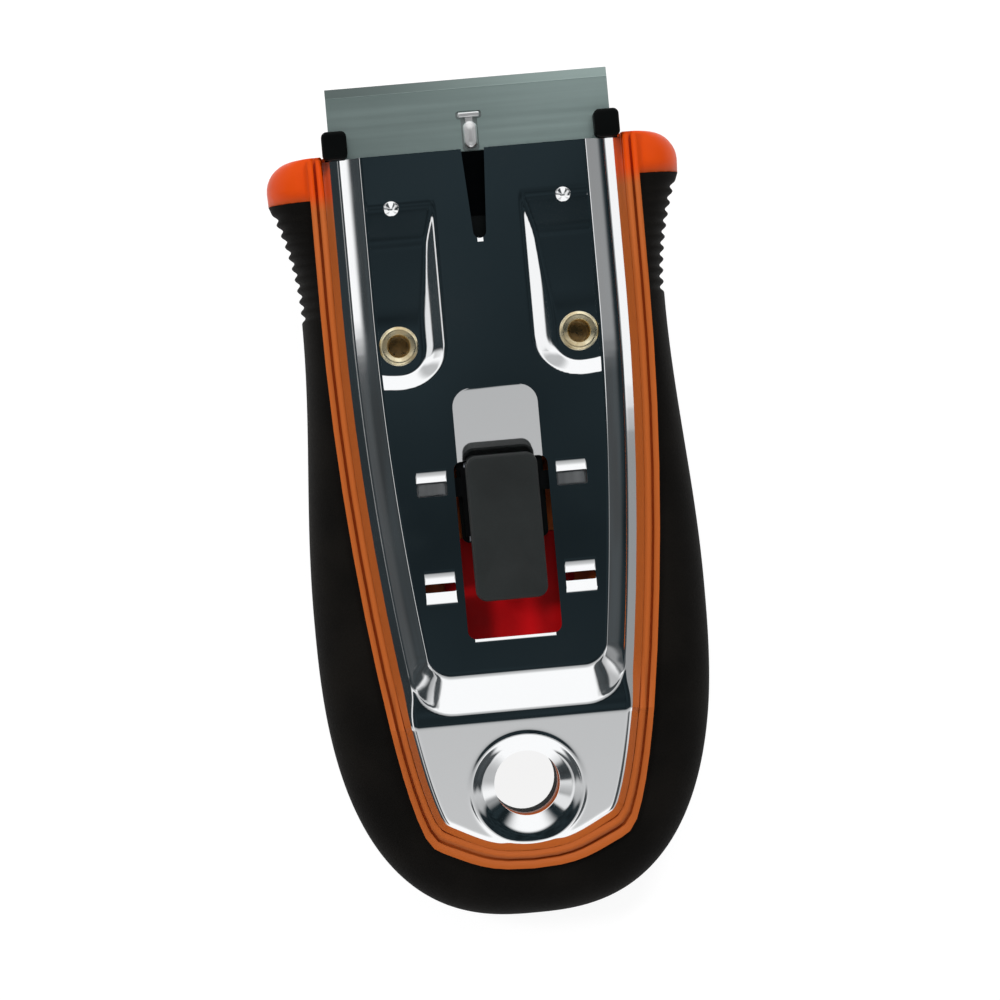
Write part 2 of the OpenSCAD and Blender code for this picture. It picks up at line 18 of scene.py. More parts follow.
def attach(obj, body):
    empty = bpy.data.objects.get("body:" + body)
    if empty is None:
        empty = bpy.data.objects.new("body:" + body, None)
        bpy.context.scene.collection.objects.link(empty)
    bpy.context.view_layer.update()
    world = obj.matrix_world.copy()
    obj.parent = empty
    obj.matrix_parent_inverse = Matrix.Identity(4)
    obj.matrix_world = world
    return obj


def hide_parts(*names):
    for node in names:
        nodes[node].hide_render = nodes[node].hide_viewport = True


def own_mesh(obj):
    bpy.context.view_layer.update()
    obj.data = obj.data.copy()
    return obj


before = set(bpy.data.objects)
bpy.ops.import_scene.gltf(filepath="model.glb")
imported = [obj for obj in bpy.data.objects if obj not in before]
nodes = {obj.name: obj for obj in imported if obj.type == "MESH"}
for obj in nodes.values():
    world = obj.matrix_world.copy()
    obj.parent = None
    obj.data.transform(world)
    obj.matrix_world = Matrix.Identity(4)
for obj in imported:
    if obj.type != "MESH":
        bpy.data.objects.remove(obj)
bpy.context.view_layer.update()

# %% [markdown]
# ## Sizes
# The CAD works in millimetres and Blender in metres. Every formula below is written in
# millimetres with the tool's own sizes, and the points are scaled once, when a mesh is made.
# Y runs forward along the tool, X to its right and Z up. THROUGH holds two levels, below and
# above every piece, for cuts that go right through.

# %% Sizes that the pieces share
MM, TINY = 0.001, 1e-9
THROUGH = (-5, 40)
PLATE_FRONT, HORN_BACK, WAIST_Y, HIP_Y = 48.5, 43.3, 26.5, -14.5
BEND_Y, TAIL_TILT = -30.6, math.radians(11)
RIM_FRONT, RIM_STRAIGHT, RIM_TAPER, RIM_TAIL = 22.85, 28.5, 2.4, -52.0
FLANGE_TOP, PANEL_TOP, CORE_UNDER = 18.9, 21.1, 8.0
RIVET_X, RIVET_Y = 12.5, 22.2
HANG_RADIUS, HANG_Y, DISH_DEPTH = 4.6, -40.1, 1.3
BORE_Y = BEND_Y + (HANG_Y - BEND_Y) * math.cos(TAIL_TILT) + DISH_DEPTH * math.sin(TAIL_TILT)
print("hanging hole at y", round(BORE_Y, 2))

# %% [markdown]
# ## From arrays to objects
# A surface here is a grid of points: rows run along the piece, columns run across or round it.
# Its faces are the grid's cells, so they can be numbered with whole arrays too.

# %% Grids, meshes and welds
def grid_faces(rows, cols, wrap=False, flip=False):
    """Cells of a rows by cols grid as corner numbers; wrap also joins the last column to the first."""
    r, c = np.meshgrid(np.arange(rows - 1), np.arange(cols if wrap else cols - 1), indexing="ij")
    across = (c + 1) % cols
    cells = np.stack([r * cols + c, r * cols + across, (r + 1) * cols + across, (r + 1) * cols + c], -1)
    cells = cells.reshape(-1, 4)
    return cells[:, ::-1] if flip else cells


def mesh_object(name, points, faces):
    """An object at the origin from points in millimetres and faces as rows of point numbers."""
    mesh = bpy.data.meshes.new(name)
    mesh.from_pydata((np.asarray(points, float).reshape(-1, 3) * MM).tolist(), [], faces)
    made = bpy.data.objects.new(name, mesh)
    bpy.context.scene.collection.objects.link(made)
    return made


def weld(made, gap=0.002):
    """Merges points closer than gap millimetres and turns all faces outwards."""
    work = bmesh.new()
    work.from_mesh(made.data)
    bmesh.ops.remove_doubles(work, verts=work.verts, dist=gap * MM)
    bmesh.ops.dissolve_degenerate(work, edges=work.edges, dist=gap * MM / 4)
    bmesh.ops.recalc_face_normals(work, faces=work.faces)
    work.to_mesh(made.data)
    work.free()
    return made


def smooth(made, angle=35):
    """Smooth shading that keeps edges sharper than angle, in degrees."""
    made.data.shade_smooth()
    made.data.set_sharp_from_angle(angle=math.radians(angle))
    return made


def dress(made, material, body, slot, *stands_for):
    """Gives a finished piece its material and says what it rides on and stands for."""
    made.data.materials.clear()
    made.data.materials.append(material)
    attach(made, body)
    if stands_for:
        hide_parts(*stands_for)
    print(made.name, len(made.data.vertices), "points,", len(made.data.polygons), "faces")
    return made


print("a grid of 3 by 4 points has", len(grid_faces(3, 4)), "cells")

# %% [markdown]
# Holes are cut last, with plain prisms and spun shapes, so a surface's formula needn't know about
# them.

# %% Outlines, prisms and spun shapes
def arc_points(x, y, r, start, end, steps):
    """Points on an arc from start to end, in degrees."""
    a = np.radians(np.linspace(start, end, steps + 1))
    return np.stack([x + r * np.cos(a), y + r * np.sin(a)], -1)


def rounded(x0, y0, x1, y1, r, steps=8):
    """A rectangle with rounded corners, anticlockwise from its right side."""
    turns = [(x1 - r, y1 - r, 0), (x0 + r, y1 - r, 90), (x0 + r, y0 + r, 180), (x1 - r, y0 + r, 270)]
    return np.concatenate([arc_points(x, y, r, a, a + 90, steps) for x, y, a in turns])


def disc(x, y, r, steps=8):
    """A circle: a square whose rounded corners all but meet."""
    return rounded(x - r, y - r, x + r, y + r, r - 0.01, steps)


def prism(name, outline, low, high, along_x=False):
    """A closed prism over an anticlockwise outline: x, y upwards or, along x, its y, z outline sideways.

    low and high are levels, or one level for each point of the outline.
    """
    outline = np.asarray(outline, float)
    count = len(outline)
    points = np.concatenate([np.c_[outline, np.zeros(count) + level] for level in (low, high)])
    points = points[:, [2, 0, 1]] if along_x else points
    sides = grid_faces(2, count, wrap=True).tolist()
    ends = [list(range(count))[::-1], list(range(count, 2 * count))]
    return mesh_object(name, points, sides + ends)


def spun(name, profile, x, y, steps=64):
    """A profile of (radius, height) rows, from its foot up, spun round an upright axis at x, y."""
    a = np.linspace(0, 2 * np.pi, steps, endpoint=False)
    profile = np.asarray(profile, float)
    r, z = profile[:, :1], profile[:, 1:]
    points = np.stack([x + r * np.cos(a), y + r * np.sin(a), z + 0 * a], -1)
    return weld(mesh_object(name, points, grid_faces(len(profile), steps, wrap=True).tolist()))


print("a round hole has", len(disc(0, 0, HANG_RADIUS)), "points")

# %% Cuts and joins
def cut(made, cutter, operation="DIFFERENCE"):
    """Applies a boolean with a cutter, which is then removed."""
    boolean = made.modifiers.new("cut", "BOOLEAN")
    boolean.operation, boolean.solver, boolean.object = operation, "EXACT", cutter
    bpy.context.view_layer.update()
    depsgraph = bpy.context.evaluated_depsgraph_get()
    result = bpy.data.meshes.new_from_object(made.evaluated_get(depsgraph))
    made.modifiers.clear()
    made.data = result
    bpy.data.objects.remove(cutter)
    return made


def punch(made, outline):
    """Cuts an outline straight down through a piece."""
    return cut(made, prism("punch", outline, *THROUGH))


print("punches reach from", THROUGH[0], "to", THROUGH[1], "mm")

# %% [markdown]
# ## Writing finishes as sums
# Blender's shader maths is a web of small nodes. This class wraps one socket, so that an
# ordinary sum such as `1 - mask * 0.3` adds those nodes by itself. Any other node comes from
# `node`, which sets its options first and then its inputs.

# %% A socket that can be added, multiplied and joined
class Wire:
    """One output socket of a node tree. Sums on it add Math nodes."""

    def __init__(self, tree, socket=None):
        self.tree, self.socket = tree, socket

    def join(self, value, target):
        """Links a wire to an input socket, or sets the input's own value."""
        if isinstance(value, Wire):
            self.tree.links.new(value.socket, target)
        else:
            target.default_value = value

    def node(self, kind, settings=None, inputs=None, out=0):
        """Any shader node: options and ramp stops first, then inputs by name or number."""
        made = self.tree.nodes.new("ShaderNode" + kind)
        for key, value in (settings or {}).items():
            if key == "stops":
                ramp_stops = made.color_ramp.elements
                while len(ramp_stops) < len(value):
                    ramp_stops.new(0.5)
                for stop, (position, colour) in zip(ramp_stops, value):
                    stop.position, stop.color = position, colour
            else:
                setattr(made, key, value)
        for key, value in (inputs or {}).items():
            self.join(value, made.inputs[key])
        return Wire(self.tree, made.outputs[out])

    def maths(self, operation, a, b=0.0):
        """A Math node on two wires or numbers."""
        return self.node("Math", {"operation": operation}, {0: a, 1: b})

    def __add__(self, other):
        return self.maths("ADD", self, other)

    def __sub__(self, other):
        return self.maths("SUBTRACT", self, other)

    def __rsub__(self, other):
        return self.maths("SUBTRACT", other, self)

    def __mul__(self, other):
        return self.maths("MULTIPLY", self, other)

    def __pow__(self, other):
        return self.maths("POWER", self, other)

    __radd__, __rmul__ = __add__, __mul__

    def absolute(self):
        """The wire without its sign."""
        return self.maths("ABSOLUTE", self)

    def least(self, other):
        """The lower of two."""
        return self.maths("MINIMUM", self, other)

    def most(self, other):
        """The higher of two."""
        return self.maths("MAXIMUM", self, other)

    def axis(self, letter):
        """One axis of a vector."""
        return self.node("SeparateXYZ", None, {"Vector": self}, out=letter)

    def step(self, low, high):
        """A smooth step from 0 at low to 1 at high."""
        return self.node(
            "MapRange",
            {"interpolation_type": "SMOOTHSTEP"},
            {"Value": self, "From Min": low, "From Max": high},
        )

    def blend(self, a, b):
        """Colour a where this wire is 0, and b where it is 1."""
        return self.node("Mix", {"data_type": "RGBA"}, {0: self, 6: a, 7: b}, out=2)


print("wires ready")


# %% Finishes, noise and bump
def finish(name, **constants):
    """A new material: itself, a wire in its tree, its Object coordinates and its shader's inputs.

    Constants go on the shader's own sockets, with _ for each space in a socket's name.
    """
    material = bpy.data.materials.new(name)
    material.use_nodes = True
    tree = material.node_tree
    shader = tree.nodes["Principled BSDF"]
    for key, value in constants.items():
        shader.inputs[key.replace("_", " ")].default_value = value
    wire = Wire(tree)
    return material, wire, wire.node("TexCoord", out="Object"), shader.inputs


def between(share, low, high):
    """The number low where a wire is 0, and high where it is 1."""
    return low + (high - low) * share


def in_mm(place, letter):
    """One axis of the Object coordinates, in millimetres."""
    return place.axis(letter) * (1 / MM)


def noise(place, scale, detail, stretch=None, rough=0.5):
    """Cloudy noise from 0 to 1; a stretch below 1 lengthens it along that axis."""
    if stretch:
        place = place.node("Mapping", None, {"Vector": place, "Scale": stretch})
    return place.node(
        "TexNoise", None, {"Vector": place, "Scale": scale, "Detail": detail, "Roughness": rough}
    )


def bump(height, depth):
    """A bump of that depth in millimetres under a height from 0 to 1."""
    return height.node("Bump", None, {"Strength": 1.0, "Distance": depth * MM, "Height": height})


print("finish writer ready")

# %% [markdown]
# ## Plastics and rubber
# The core and its horns are moulded in glossy orange plastic with a faint flow mottle. Its rim is
# painted a darker orange than the horns, as painted shade. The grip is a soft rubber: nearly black,
# matt, with the fine grain of a spark-eroded mould, so its grain goes into both the bump and the
# roughness.

# %% Orange, rubber, black, grey and red plastic
# Behind the horns the orange is painted darker, as painted shade on the rim.
RIM_SHADE_Y, RIM_PAINTED_SHADE, RIM_SHADE_FADE = 43.0, (0.45, 0.105, 0.020, 1), 1.5


def moulded(name, dark, light, gloss, grain, depth, specular, shaded_rim=False):
    """Moulded plastic: a slow mottle between two colours, and a fine grain in gloss and bump.

    When asked, the colour changes behind the horns to a darker orange: painted shade on the rim.
    """
    material, wire, place, sockets = finish(name, Specular_IOR_Level=specular)
    mottle = noise(place, scale=90, detail=3).step(0.3, 0.7)
    grains = noise(place, scale=grain, detail=3)
    colour = mottle.blend(dark, light)
    if shaded_rim:
        forward = in_mm(place, "Y").step(RIM_SHADE_Y - RIM_SHADE_FADE, RIM_SHADE_Y + RIM_SHADE_FADE)
        colour = forward.blend(RIM_PAINTED_SHADE, colour)
    wire.join(colour, sockets["Base Color"])
    wire.join(between(grains, *gloss), sockets["Roughness"])
    wire.join(bump(grains, depth), sockets["Normal"])
    return material


orange = moulded(
    "orange_plastic", dark=(0.66, 0.060, 0.002, 1), light=(0.74, 0.078, 0.003, 1),
    gloss=(0.32, 0.46), grain=1400, depth=0.012, specular=0.16, shaded_rim=True,
)
rubber = moulded(
    "black_rubber", dark=(0.0045, 0.004, 0.0035, 1), light=(0.0075, 0.0065, 0.0055, 1),
    gloss=(0.6, 0.85), grain=3600, depth=0.05, specular=0.05,
)
black = moulded(
    "black_plastic", dark=(0.0015, 0.002, 0.002, 1), light=(0.003, 0.0035, 0.0035, 1),
    gloss=(0.4, 0.6), grain=2600, depth=0.02, specular=0.05,
)
grey = moulded(
    "button_plastic", dark=(0.016, 0.018, 0.018, 1), light=(0.021, 0.024, 0.024, 1),
    gloss=(0.45, 0.65), grain=2400, depth=0.03, specular=0.2,
)
red = moulded(
    "red_plastic", dark=(0.50, 0.003, 0.005, 1), light=(0.60, 0.004, 0.007, 1),
    gloss=(0.25, 0.4), grain=1600, depth=0.01, specular=0.3,
)
print("plastics:", orange.name, rubber.name, black.name, grey.name, red.name)

# %% [markdown]
# ## Metals
# The cover is bright plated: nearly a mirror, with faint waves from the press and light
# smudges. The blade and its carrier are rolled and ground steel, so they have fine lines along
# the strip, which a noise stretched thirtyfold or more gives. Where the steel lies under the cover,
# and along the blade's bevel and left end, its colour is darkened with painted shade. Brass
# tarnishes in small spots, and is browner down in the rivets' bores.

# %% Bright plating
def plated(name, colour, gloss, wave):
    """Bright plating: low roughness with smudges, and slow shallow waves in the normal."""
    material, wire, place, sockets = finish(name, Metallic=1.0, Base_Color=colour)
    smudges = noise(place, scale=60, detail=4).step(0.45, 0.8)
    wire.join(between(smudges, *gloss), sockets["Roughness"])
    wire.join(bump(noise(place, scale=110, detail=1), wave), sockets["Normal"])
    return material


chrome = plated("bright_plate", (0.95, 0.96, 0.97, 1), gloss=(0.05, 0.11), wave=0.006)
stud_bright = plated("bright_steel", (0.92, 0.92, 0.92, 1), gloss=(0.38, 0.5), wave=0.002)
print("plated:", chrome.name, stud_bright.name)

# %% Ground and rolled steel, darkened with painted shade
ALONG_X, ALONG_Y = (0.02, 1, 1), (1, 0.03, 1)
# The near-black steel colour and the cover's front edge in Y, where it stops: painted shade for steel
# under the cover.
STEEL_PAINTED_SHADE, SHADE_EDGE_Y, BEVEL_EDGE = (0.004, 0.005, 0.006, 1), (48.3, 48.6), (57.1, 57.3)
BLADE_ENDS, BAR_ENDS, LINE_SHARE = (-20, 20), (6.6, 7.2), 0.6
# How much painted shade each part takes: the blade's rear, its bevel, its left end, the carrier and the
# lock bar.
BLADE_REAR_SHADE, BEVEL_SHADE, LEFT_SHADE, CARRIER_SHADE, BAR_SHADE = 0.94, 0.52, 0.30, 0.96, 0.97


def ground(name, dark, light, gloss, stretch, depth, painted_shade=None):
    """Ground or rolled steel: lines along one axis in colour, gloss and bump.

    The given function of x and y says from 0 to 1 how far painted shade darkens the steel at a place.
    """
    material, wire, place, sockets = finish(name, Metallic=1.0)
    lines = noise(place, scale=900, detail=3, stretch=stretch, rough=0.6)
    cloud = noise(place, scale=120, detail=3)
    shade = LINE_SHARE * lines + (1 - LINE_SHARE) * cloud
    colour = shade.step(0.3, 0.7).blend(dark, light)
    if painted_shade:
        # Painted shade: the colour goes towards near-black where the given function says.
        colour = painted_shade(in_mm(place, "X"), in_mm(place, "Y")).blend(colour, STEEL_PAINTED_SHADE)
    wire.join(colour, sockets["Base Color"])
    wire.join(between(lines, *gloss), sockets["Roughness"])
    wire.join(bump(lines, depth), sockets["Normal"])
    return material


def blade_painted_shade(x, y):
    """Painted shade: the blade's rear under the cover goes near-black, its bevel is darkened, and its left
    end is darker than its right.
    """
    rear, bevel = BLADE_REAR_SHADE * (1 - y.step(*SHADE_EDGE_Y)), BEVEL_SHADE * y.step(*BEVEL_EDGE)
    return rear + bevel + LEFT_SHADE * (1 - x.step(*BLADE_ENDS))


def carrier_painted_shade(x, y):
    """Painted shade: the carrier goes near-black under the cover, but for its tip beyond the cover's
    front.
    """
    return CARRIER_SHADE * (1 - y.step(*SHADE_EDGE_Y))


def bar_painted_shade(x, y):
    """Painted shade: the lock bar goes near-black between its two ends, which keep the steel's colour."""
    return BAR_SHADE * (1 - x.absolute().step(*BAR_ENDS))


blade_steel = ground(
    "blade_steel", dark=(0.68, 0.86, 0.82, 1), light=(0.76, 0.95, 0.91, 1),
    gloss=(0.30, 0.40), stretch=ALONG_X, depth=0.003, painted_shade=blade_painted_shade,
)
bar_steel = ground(
    "bar_steel", dark=(0.48, 0.49, 0.50, 1), light=(0.62, 0.63, 0.64, 1),
    gloss=(0.26, 0.4), stretch=ALONG_Y, depth=0.004, painted_shade=bar_painted_shade,
)
carrier_steel = ground(
    "carrier_steel", dark=(0.40, 0.45, 0.445, 1), light=(0.46, 0.52, 0.51, 1),
    gloss=(0.3, 0.45), stretch=ALONG_Y, depth=0.004, painted_shade=carrier_painted_shade,
)
spring_steel = ground(
    "spring_steel", dark=(0.36, 0.39, 0.44, 1), light=(0.46, 0.48, 0.52, 1),
    gloss=(0.22, 0.34), stretch=ALONG_Y, depth=0.003,
)
print("steels:", blade_steel.name, bar_steel.name, carrier_steel.name, spring_steel.name)

# %% Rivet brass
BRASS_BRIGHT, BRASS_SPOT, BRASS_GLOSS = (0.98, 0.88, 0.61, 1), (0.76, 0.61, 0.35, 1), (0.22, 0.42)
BORE_BROWN, BORE_EDGE = (0.52, 0.35, 0.17, 1), (1.6, 2.1)


def rivet_brass(name):
    """Brass: spots of tarnish in colour and gloss, and brown within a squared distance of an axis."""
    material, wire, place, sockets = finish(name, Metallic=1.0)
    tarnish = noise(place, scale=700, detail=4).step(0.35, 0.75)
    from_axis = (in_mm(place, "X").absolute() - RIVET_X) ** 2.0 + (in_mm(place, "Y") - RIVET_Y) ** 2.0
    colour = from_axis.step(*BORE_EDGE).blend(BORE_BROWN, tarnish.blend(BRASS_BRIGHT, BRASS_SPOT))
    wire.join(colour, sockets["Base Color"])
    wire.join(between(tarnish, *BRASS_GLOSS), sockets["Roughness"])
    wire.join(bump(noise(place, scale=2200, detail=2), 0.01), sockets["Normal"])
    return material


brass = rivet_brass("brass")
print("finishes:", len(bpy.data.materials))

# %% [markdown]
# ## Pieces that keep their CAD form
# The blade, its carrier, the lock bar, the pins and the red strip are flat or round stock with
# crisp edges, and the CAD already has that form. They only take a finish.

# %% Finishes for the CAD pieces
kept = {
    "blade": blade_steel,
    "blade_carrier": carrier_steel,
    "lock_bar": bar_steel,
    "guide_pin_front": stud_bright,
    "guide_pin_rear": stud_bright,
    "red_flag": red,
}
for node_name, material in kept.items():
    nodes[node_name].data.materials.clear()
    nodes[node_name].data.materials.append(material)
print("kept as built:", sorted(kept))

# %% [markdown]
# ## The handle's outline
# Seen from above, the rim runs straight behind the blade and then draws in along a parabola.
# The grip bulges out from a waist to the hips. Both close round the tail on a superellipse,
# which is squarer than an ellipse. The rim's end would then be flat, so it is raised to a shallow
# arc between two corners.

# %% Smooth joins
def smooth_min(a, b, k):
    """The lower of two heights, rounded over a width k."""
    h = np.maximum(k - np.abs(a - b), 0) / k
    return np.minimum(a, b) - h * h * k / 4


def smooth_max(a, b, k):
    """The higher of two heights, rounded over a width k."""
    return -smooth_min(-a, -b, k)


def above_zero(a, k):
    """A height where it is above zero, rounded over a width k."""
    return smooth_max(a, 0 * a, k)


print("a rounded corner of width 1 rises", above_zero(np.zeros(1), 1)[0])

# %% Outline formulas
WAIST_HALF, HIP_HALF, HORN_FLARE, FLARE_RUN, TAIL_Y = 25.5, 27.5, 3.3, 17.0, -58.5
RIM_POWER, GRIP_POWER, END_ARC, ARC_CORNER = 6.5, 2.6, 5.2, 1.5


def rim_half(y):
    """Half width of the rim: constant in front, less a parabola towards the tail."""
    return RIM_FRONT - RIM_TAPER * (np.maximum(0, RIM_STRAIGHT - y) / (RIM_STRAIGHT - HIP_Y)) ** 2


def flank_half(y):
    """Half width of the grip: a flare towards the horns, and half a cosine wave out to the hips."""
    flare = HORN_FLARE * np.clip((y - WAIST_Y) / FLARE_RUN, 0, 1) ** 2
    hips = (1 - np.cos(np.pi * np.clip((WAIST_Y - y) / (WAIST_Y - HIP_Y), 0, 1))) / 2
    return WAIST_HALF + flare + (HIP_HALF - WAIST_HALF) * hips


def rim_tail(s, inset):
    """The rim behind the hips, drawn in by inset, at s from 0 to 1: a quarter of a superellipse.

    The angle grows as s squared from both ends, where equal angles would leave wide gaps.
    """
    turn = np.radians(np.where(s < 0.5, 180 * s * s, 90 - 180 * (1 - s) ** 2))
    y = HIP_Y - (HIP_Y - RIM_TAIL - inset) * np.sin(turn) ** (2 / RIM_POWER)
    return np.stack([(rim_half(y) - inset) * np.abs(np.cos(turn)) ** (2 / RIM_POWER), y], -1)


def end_lift(share, inset):
    """How far a parabola of height END_ARC lies ahead of the superellipse at a share of its half width."""
    length = HIP_Y - RIM_TAIL - inset
    drop = length * (1 - (1 - np.minimum(share, 1) ** RIM_POWER) ** (1 / RIM_POWER))
    return above_zero(END_ARC * share**2 - drop, ARC_CORNER)


def arched_tail(s, inset):
    """The rim behind the hips, with its flat end raised to an arc between two corners."""
    x, y = rim_tail(s, inset).T
    return np.stack([x, y + end_lift(x / (rim_half(y) - inset), inset)], -1)


def grip_tail(s):
    """The grip behind the hips at s from 0 to 1: a quarter of a superellipse."""
    turn = np.radians(90 * s)
    x = HIP_HALF * np.abs(np.cos(turn)) ** (2 / GRIP_POWER)
    return np.stack([x, HIP_Y - (HIP_Y - TAIL_Y) * np.sin(turn) ** (2 / GRIP_POWER)], -1)


print("rim", 2 * RIM_FRONT, "mm wide, hips", 2 * HIP_HALF)

# %% [markdown]
# ## The rubber grip
# A moulder would call this an overmould: a soft skin, thick at the hips, with finger ribs on its
# front flanks. It could be sculpted, but a loft says it better. At each station down the side a
# quarter ellipse falls from the rim to the widest line and another tucks under to the base.
# Each rib is one wave of a squared sine, pressed inwards and fading out above and below.

# %% Stations down one side of the grip
RIB_PITCH, RIB_COUNT, RIB_STEPS, RIB_START = 1.55, 10, 12, HORN_BACK - 1
GRIP_LAP, WAIST_STATIONS, TAIL_STATIONS = 1.0, 44, 72
ribs_y = np.arange(HORN_BACK, WAIST_Y, -RIB_PITCH / RIB_STEPS)
level_y = np.concatenate([ribs_y, np.linspace(WAIST_Y, HIP_Y, WAIST_STATIONS)])
tail_s = np.linspace(0, 1, TAIL_STATIONS + 1)[1:]
rim_level = np.stack([rim_half(level_y) - GRIP_LAP, level_y], -1)
rim_xy = np.concatenate([rim_level, arched_tail(tail_s, GRIP_LAP)])
side_xy = np.concatenate([np.stack([flank_half(level_y), level_y], -1), grip_tail(tail_s)])
rib_phase = (RIB_START - side_xy[:, 1]) / RIB_PITCH
rib_wave = np.where((rib_phase > 0) & (rib_phase < RIB_COUNT), np.sin(np.pi * rib_phase) ** 2, 0)
print("stations on one side:", len(side_xy))

# %% Loft of the grip
GRIP_TOP, WIDEST_SHARE, UNDER_INSET = 18.8, 0.55, 6.0
NOSE_Y, NOSE_RISE, RISE_START = 49.2, 7.0, 20.5
RIB_DEPTH, RIB_FADE = 0.55, 0.8


def under_z(y):
    """Height of the underside: flat, then a parabola up to the nose."""
    return NOSE_RISE * np.maximum(0, (y - RISE_START) / (NOSE_Y - RISE_START)) ** 2


def top_z(y):
    """Height of the grip along the rim, falling with the tail."""
    return GRIP_TOP - np.maximum(0, BEND_Y - y) * math.tan(TAIL_TILT)


def grip_rings(rim, side, wave, upper_steps=16, lower_steps=12):
    """One ring of points per station, from the core's wall over the flank to the middle of the base.

    Upper quarter: rim + (side - rim) sin a, wide + (top - wide) cos a, from where it clears the core.
    Lower quarter: side + inward * UNDER_INSET (1 - cos b), wide - (wide - under) sin b.
    """
    across = side - rim
    reach = np.linalg.norm(across, axis=1)
    inward = -across / reach[:, None]
    under, top = under_z(side[:, 1]), top_z(rim[:, 1])
    wide = under + WIDEST_SHARE * (top_z(side[:, 1]) - under)
    first = np.arcsin(np.clip(GRIP_LAP / reach, 0, 1))
    a = first[:, None] + (np.pi / 2 - first)[:, None] * np.linspace(0, 1, upper_steps + 1)
    b = np.radians(np.linspace(0, 90, lower_steps + 1))[None, 1:]
    upper = rim[:, None] + across[:, None] * np.sin(a)[..., None]
    lower = side[:, None] + inward[:, None] * (UNDER_INSET * (1 - np.cos(b)))[..., None]
    upper_z = wide[:, None] + (top - wide)[:, None] * np.cos(a)
    lower_z = wide[:, None] - (wide - under)[:, None] * np.sin(b)
    flat, z = np.concatenate([upper, lower], 1), np.concatenate([upper_z, lower_z], 1)
    share = np.sin(np.linspace(0, np.pi, flat.shape[1])) ** RIB_FADE
    flat = flat + inward[:, None] * (RIB_DEPTH * wave[:, None] * share[None])[..., None]
    ring = np.concatenate([flat, z[..., None]], -1)
    wall = ring[:, :1] * [1, 1, 0] + [0, 0, CORE_UNDER]
    base = ring[:, -1:] * [0, 1, 1]
    bed = wall * [0, 1, 1]
    return np.concatenate([wall, ring, base, bed], 1)


right_rings = grip_rings(rim_xy, side_xy, rib_wave)
rings = np.concatenate([right_rings, right_rings[-2::-1] * [-1, 1, 1]])
print("grip rings", rings.shape)

# %% Grip with its holes
RIVET_RECESS, BORE_STEPS, GRIP_CREASE = 3.8, 12, 40
hang_bore = disc(0, BORE_Y, HANG_RADIUS, BORE_STEPS)
around = rings.shape[1]
last_ring = (len(rings) - 1) * around
front_cap = list(range(around - 1)) + [last_ring + k for k in range(around - 3, -1, -1)]
grip_faces = grid_faces(len(rings), around, wrap=True).tolist() + [front_cap]
grip = weld(mesh_object("soft_grip_skin", rings, grip_faces))
for side in (1, -1):
    punch(grip, disc(side * RIVET_X, RIVET_Y, RIVET_RECESS))
punch(grip, hang_bore)
dress(smooth(grip, GRIP_CREASE), rubber, "handle", "black_rubber", "soft_grip")

# %% [markdown]
# ## The orange core
# The core is one moulding with a deep channel, pockets and bores, so its CAD form is copied whole.
# The copy's loose triangles are merged, smooth shading runs over the horns, and the end of its
# rim is raised to the same arc as the cover that it frames.

# %% Copies of CAD pieces, and points moved by a formula
def merged_copy(node_name, name, gap=0.001, angle=40):
    """A copy of a CAD piece with its loose triangles merged."""
    made = bpy.data.objects.new(name, nodes[node_name].data.copy())
    bpy.context.scene.collection.objects.link(made)
    return smooth(weld(made, gap), angle)


def reshape(made, change):
    """Passes a mesh's points, as rows in millimetres, through a function that moves them."""
    points = np.empty(len(made.data.vertices) * 3)
    made.data.vertices.foreach_get("co", points)
    points = change(points.reshape(-1, 3) / MM) * MM
    made.data.vertices.foreach_set("co", points.ravel())
    return made


print("core before:", len(nodes["handle_core"].data.vertices), "loose points")

# %% Core with an arched end
LEAST_INSET, MOST_INSET, HALVINGS = -3.0, 9.0, 24
ARCH_END, ARCH_FADE, LEVEL_SKIN = 5.6, 3.0, 2.0


def rim_place(x, y):
    """The inset of the rim line through a point, found by halving, and the share of its half width."""
    low, high = np.full(x.shape, LEAST_INSET), np.full(x.shape, MOST_INSET)
    for _ in range(HALVINGS):
        inset = (low + high) / 2
        back = np.maximum(HIP_Y - y, 0) / (HIP_Y - RIM_TAIL - inset)
        inside = (np.abs(x) / (rim_half(y) - inset)) ** RIM_POWER + back**RIM_POWER < 1
        low, high = np.where(inside, inset, low), np.where(inside, high, inset)
    return inset, np.abs(x) / (rim_half(y) - inset)


def arch_end(points):
    """Lifts the rim's end forward by end_lift and, above its level underside, up the tail's slope.

    The lift fades over ARCH_FADE to nothing at an inset of ARCH_END, and there is none ahead of the bend.
    """
    x, y, z = points.T
    inset, share = rim_place(x, y)
    lift = end_lift(share, inset) * np.clip((ARCH_END - inset) / ARCH_FADE, 0, 1) * (y < BEND_Y)
    print("rim's end raised by up to", round(lift.max(), 2))
    return np.stack([x, y + lift, z + lift * math.tan(TAIL_TILT) * (z > CORE_UNDER + LEVEL_SKIN)], -1)


core = reshape(merged_copy("handle_core", "orange_core"), arch_end)
dress(core, orange, "handle", "orange_plastic", "handle_core")

# %% [markdown]
# ## The leaf spring
# A bowed steel strip under the button holds the lock up in its windows. It is the one springy
# piece; its copy is merged and given a mesh of its own.

# %% Leaf spring under the button
spring = merged_copy("lock_spring", "leaf_spring")
dress(spring, spring_steel, "slide", "spring_steel", "lock_spring")
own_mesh(spring)

# %% [markdown]
# ## The stamped cover
# This is the piece that makes the tool: one sheet pressed into a raised panel, with two wells
# that ramp down to the rivets, a thumb scoop, guide dimples and a dish round the hanging hole.
# A press die is a height over a plane, so the cover is too. Each form is its own small formula,
# and a smooth minimum or maximum joins them with the rounded edges that sheet metal takes.

